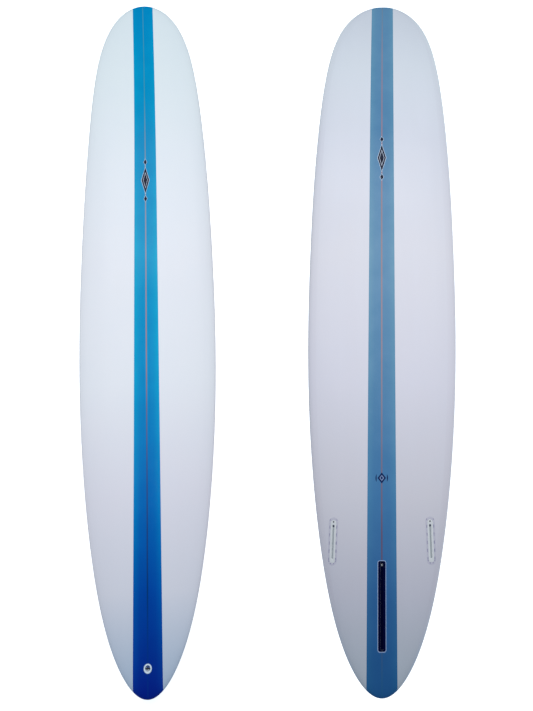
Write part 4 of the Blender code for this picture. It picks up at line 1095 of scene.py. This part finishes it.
# ================================================================ studio
floor_look = Look("studio_floor")
tree = floor_look.tree
path = floor_look.node("ShaderNodeLightPath")
facing = floor_look.node("ShaderNodeNewGeometry")
grainy = floor_look.noise(3.0, 3.0, 0.5, floor_look.node("ShaderNodeTexCoord").outputs["Object"])
floor_look.feed(floor_look.shader.inputs["Base Color"], floor_look.mix(grainy, (0.80, 0.81, 0.83), (0.84, 0.85, 0.86)))
floor_look.shader.inputs["Roughness"].default_value = 0.9
floor_look.shader.inputs["Specular IOR Level"].default_value = 0.0
floor_look.shader.inputs["Emission Color"].default_value = (1, 1, 1, 1)
floor_look.feed(floor_look.shader.inputs["Emission Strength"], floor_look.math("MULTIPLY", path.outputs["Is Camera Ray"], 0.80))
# light that leaves a surface towards the floor finds it evenly bright, so that the underside isn't black from below
upward = floor_look.node("ShaderNodeEmission")
upward.inputs["Strength"].default_value = 0.85
bounce = floor_look.node("ShaderNodeMixShader")
tree.links.new(path.outputs["Is Diffuse Ray"], bounce.inputs[0])
tree.links.new(floor_look.shader.outputs[0], bounce.inputs[1])
tree.links.new(upward.outputs[0], bounce.inputs[2])
floor_look.material.cycles.emission_sampling = "NONE"
clear = floor_look.node("ShaderNodeBsdfTransparent")
either = floor_look.node("ShaderNodeMixShader")
tree.links.new(facing.outputs["Backfacing"], either.inputs[0])
tree.links.new(bounce.outputs[0], either.inputs[1])
tree.links.new(clear.outputs[0], either.inputs[2])
tree.links.new(either.outputs[0], tree.nodes["Material Output"].inputs["Surface"])

floor_mesh = bpy.data.meshes.new("studio_floor")
rim = circle(30.0, 96)
floor_mesh.from_pydata([(x, y, -0.0006) for x, y in rim], [], [tuple(range(96))])
floor = bpy.data.objects.new("studio_floor", floor_mesh)
scene.collection.objects.link(floor)
floor_mesh.materials.append(floor_look.material)
floor.visible_shadow = False
floor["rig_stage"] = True

world = bpy.data.worlds.new("studio")
scene.world = world
world.use_nodes = True
wt = world.node_tree
for old in list(wt.nodes):
    wt.nodes.remove(old)
ray, out = wt.nodes.new("ShaderNodeLightPath"), wt.nodes.new("ShaderNodeOutputWorld")


def sky(color, strength):
    made = wt.nodes.new("ShaderNodeBackground")
    made.inputs[0].default_value, made.inputs[1].default_value = (*color, 1.0), strength
    return made.outputs[0]


def either_sky(test, no, yes):
    made = wt.nodes.new("ShaderNodeMixShader")
    for socket, value in zip(made.inputs, (test, no, yes)):
        wt.links.new(value, socket)
    return made.outputs[0]


# cool light all round, a dim room in the reflections, and a white backdrop behind
around = either_sky(ray.outputs["Is Glossy Ray"], sky((0.54, 0.72, 0.92), 0.42), sky((0.55, 0.75, 1.0), 0.035))
wt.links.new(either_sky(ray.outputs["Is Camera Ray"], around, sky((0.97, 0.98, 1.0), 1.0)), out.inputs["Surface"])


def soft_light(name, at, toward, size, power, color, glossy=True, diffuse=True):
    data = bpy.data.lights.new(name, "AREA")
    data.shape, data.size, data.size_y = "RECTANGLE", size[0], size[1]
    data.energy, data.color = power, color
    lamp = bpy.data.objects.new(name, data)
    scene.collection.objects.link(lamp)
    lamp.location = at
    lamp.rotation_mode = "QUATERNION"
    lamp.rotation_quaternion = (Vector(toward) - Vector(at)).to_track_quat("-Z", "Y")
    lamp.visible_camera = False
    lamp.visible_glossy, lamp.visible_diffuse = glossy, diffuse
    return lamp


KEY = {"name": "key", "at": (0.0, 0.22, 2.40), "toward": (0.0, 0.15, 0.0), "size": (2.2, 1.8), "power": 56.0, "color": (1.0, 1.0, 1.0), "glossy": False}
SHEEN = {"name": "sheen", "at": (0.0, 1.28, 2.60), "toward": (0.0, 0.30, 0.0), "size": (2.4, 0.85), "power": 6.2, "color": (1.0, 1.0, 1.0)}
lamps = [soft_light(**KEY), soft_light(**SHEEN)]
# long strips low on both sides, seen only in the gloss of the rails
for side in (-1, 1):
    lamps.append(soft_light("strip_left" if side < 0 else "strip_right", (side * 2.6, 0.2, 0.75), (0.0, 0.0, 0.1), (3.0, 0.5), 6.0, (0.92, 0.96, 1.0), diffuse=False))

scene.view_settings.view_transform = "Standard"
scene.view_settings.look = "None"
scene.view_settings.exposure, scene.view_settings.gamma = 0.0, 1.0

# ================================================================ the same board turned over, for the picture only
# Stage only: it shares the real pieces' meshes, it is seen by the camera alone, it exists only in the home view,
# and it follows the real bodies, so that the underside can be seen beside the deck at every pose.
NEARER = 0.895
COPY_SHARE = 1.02
COPY_ASIDE = 0.50  # metres that its lamps stand to the right, to light both its sides alike
warp = NEARER * (axes(DECK_VIEW).transposed() @ picture(DECK_VIEW).inverted() @ picture(BOTTOM_VIEW) @ axes(BOTTOM_VIEW))
turned = warp @ Matrix(((-1, 0, 0), (0, 1, 0), (0, 0, -1)))
offset = Vector(DECK_VIEW["at"]) - warp @ Vector(BOTTOM_VIEW["at"])

import numpy as np

u, stretch, vt = np.linalg.svd(np.array(turned))
if np.linalg.det(u) < 0:
    u, vt = u * -1, vt * -1
outer = bpy.data.objects.new("stage_turned_outer", None)
inner = bpy.data.objects.new("stage_turned_inner", None)
for empty in (outer, inner):
    scene.collection.objects.link(empty)
    empty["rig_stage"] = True
outer.matrix_world = Matrix.Translation(offset) @ Matrix([list(row) for row in u]).to_4x4() @ Matrix.Diagonal((*[float(v) for v in stretch], 1.0))
inner.parent = outer
inner.matrix_local = Matrix([list(row) for row in vt]).to_4x4()
while_at_home(outer, "location", 2, offset.z, -60.0)
copies, others = bpy.data.collections.new("turned_copy"), bpy.data.collections.new("all_else")
riders = {}
for body, real in frame["bodies"].items():
    follower = bpy.data.objects.new("stage_follow_" + body, None)
    scene.collection.objects.link(follower)
    follower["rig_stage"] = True
    follower.parent = inner
    copy = follower.constraints.new("COPY_TRANSFORMS")
    copy.target, copy.target_space, copy.owner_space = real, "WORLD", "LOCAL"
    riders[body] = follower
for real in [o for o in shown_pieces() if "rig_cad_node" not in o]:
    twin = bpy.data.objects.new("stage_" + real.name, real.data)
    scene.collection.objects.link(twin)
    twin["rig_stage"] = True
    twin.parent = riders[real["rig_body"]]
    twin.visible_shadow = twin.visible_diffuse = twin.visible_glossy = twin.visible_transmission = False
    copies.objects.link(twin)
# the copy has its own key and sheen, which stand over it as the real ones stand over the board
for lamp in lamps:
    lamp.light_linking.receiver_collection = others
for real in list(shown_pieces()) + [floor]:
    others.objects.link(real)
for kind in (KEY, SHEEN):
    x, y, z = kind["at"]
    over, aim = offset + turned @ Vector((x, y, -z)) + Vector((COPY_ASIDE, 0, 0)), offset + turned @ Vector(kind["toward"])
    lamp = soft_light(**{**kind, "name": "copy_" + kind["name"], "at": over, "toward": aim, "power": kind["power"] * COPY_SHARE})
    lamp.light_linking.receiver_collection = copies

# ================================================================ sizes, and the end
bpy.context.view_layer.update()
low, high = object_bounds()
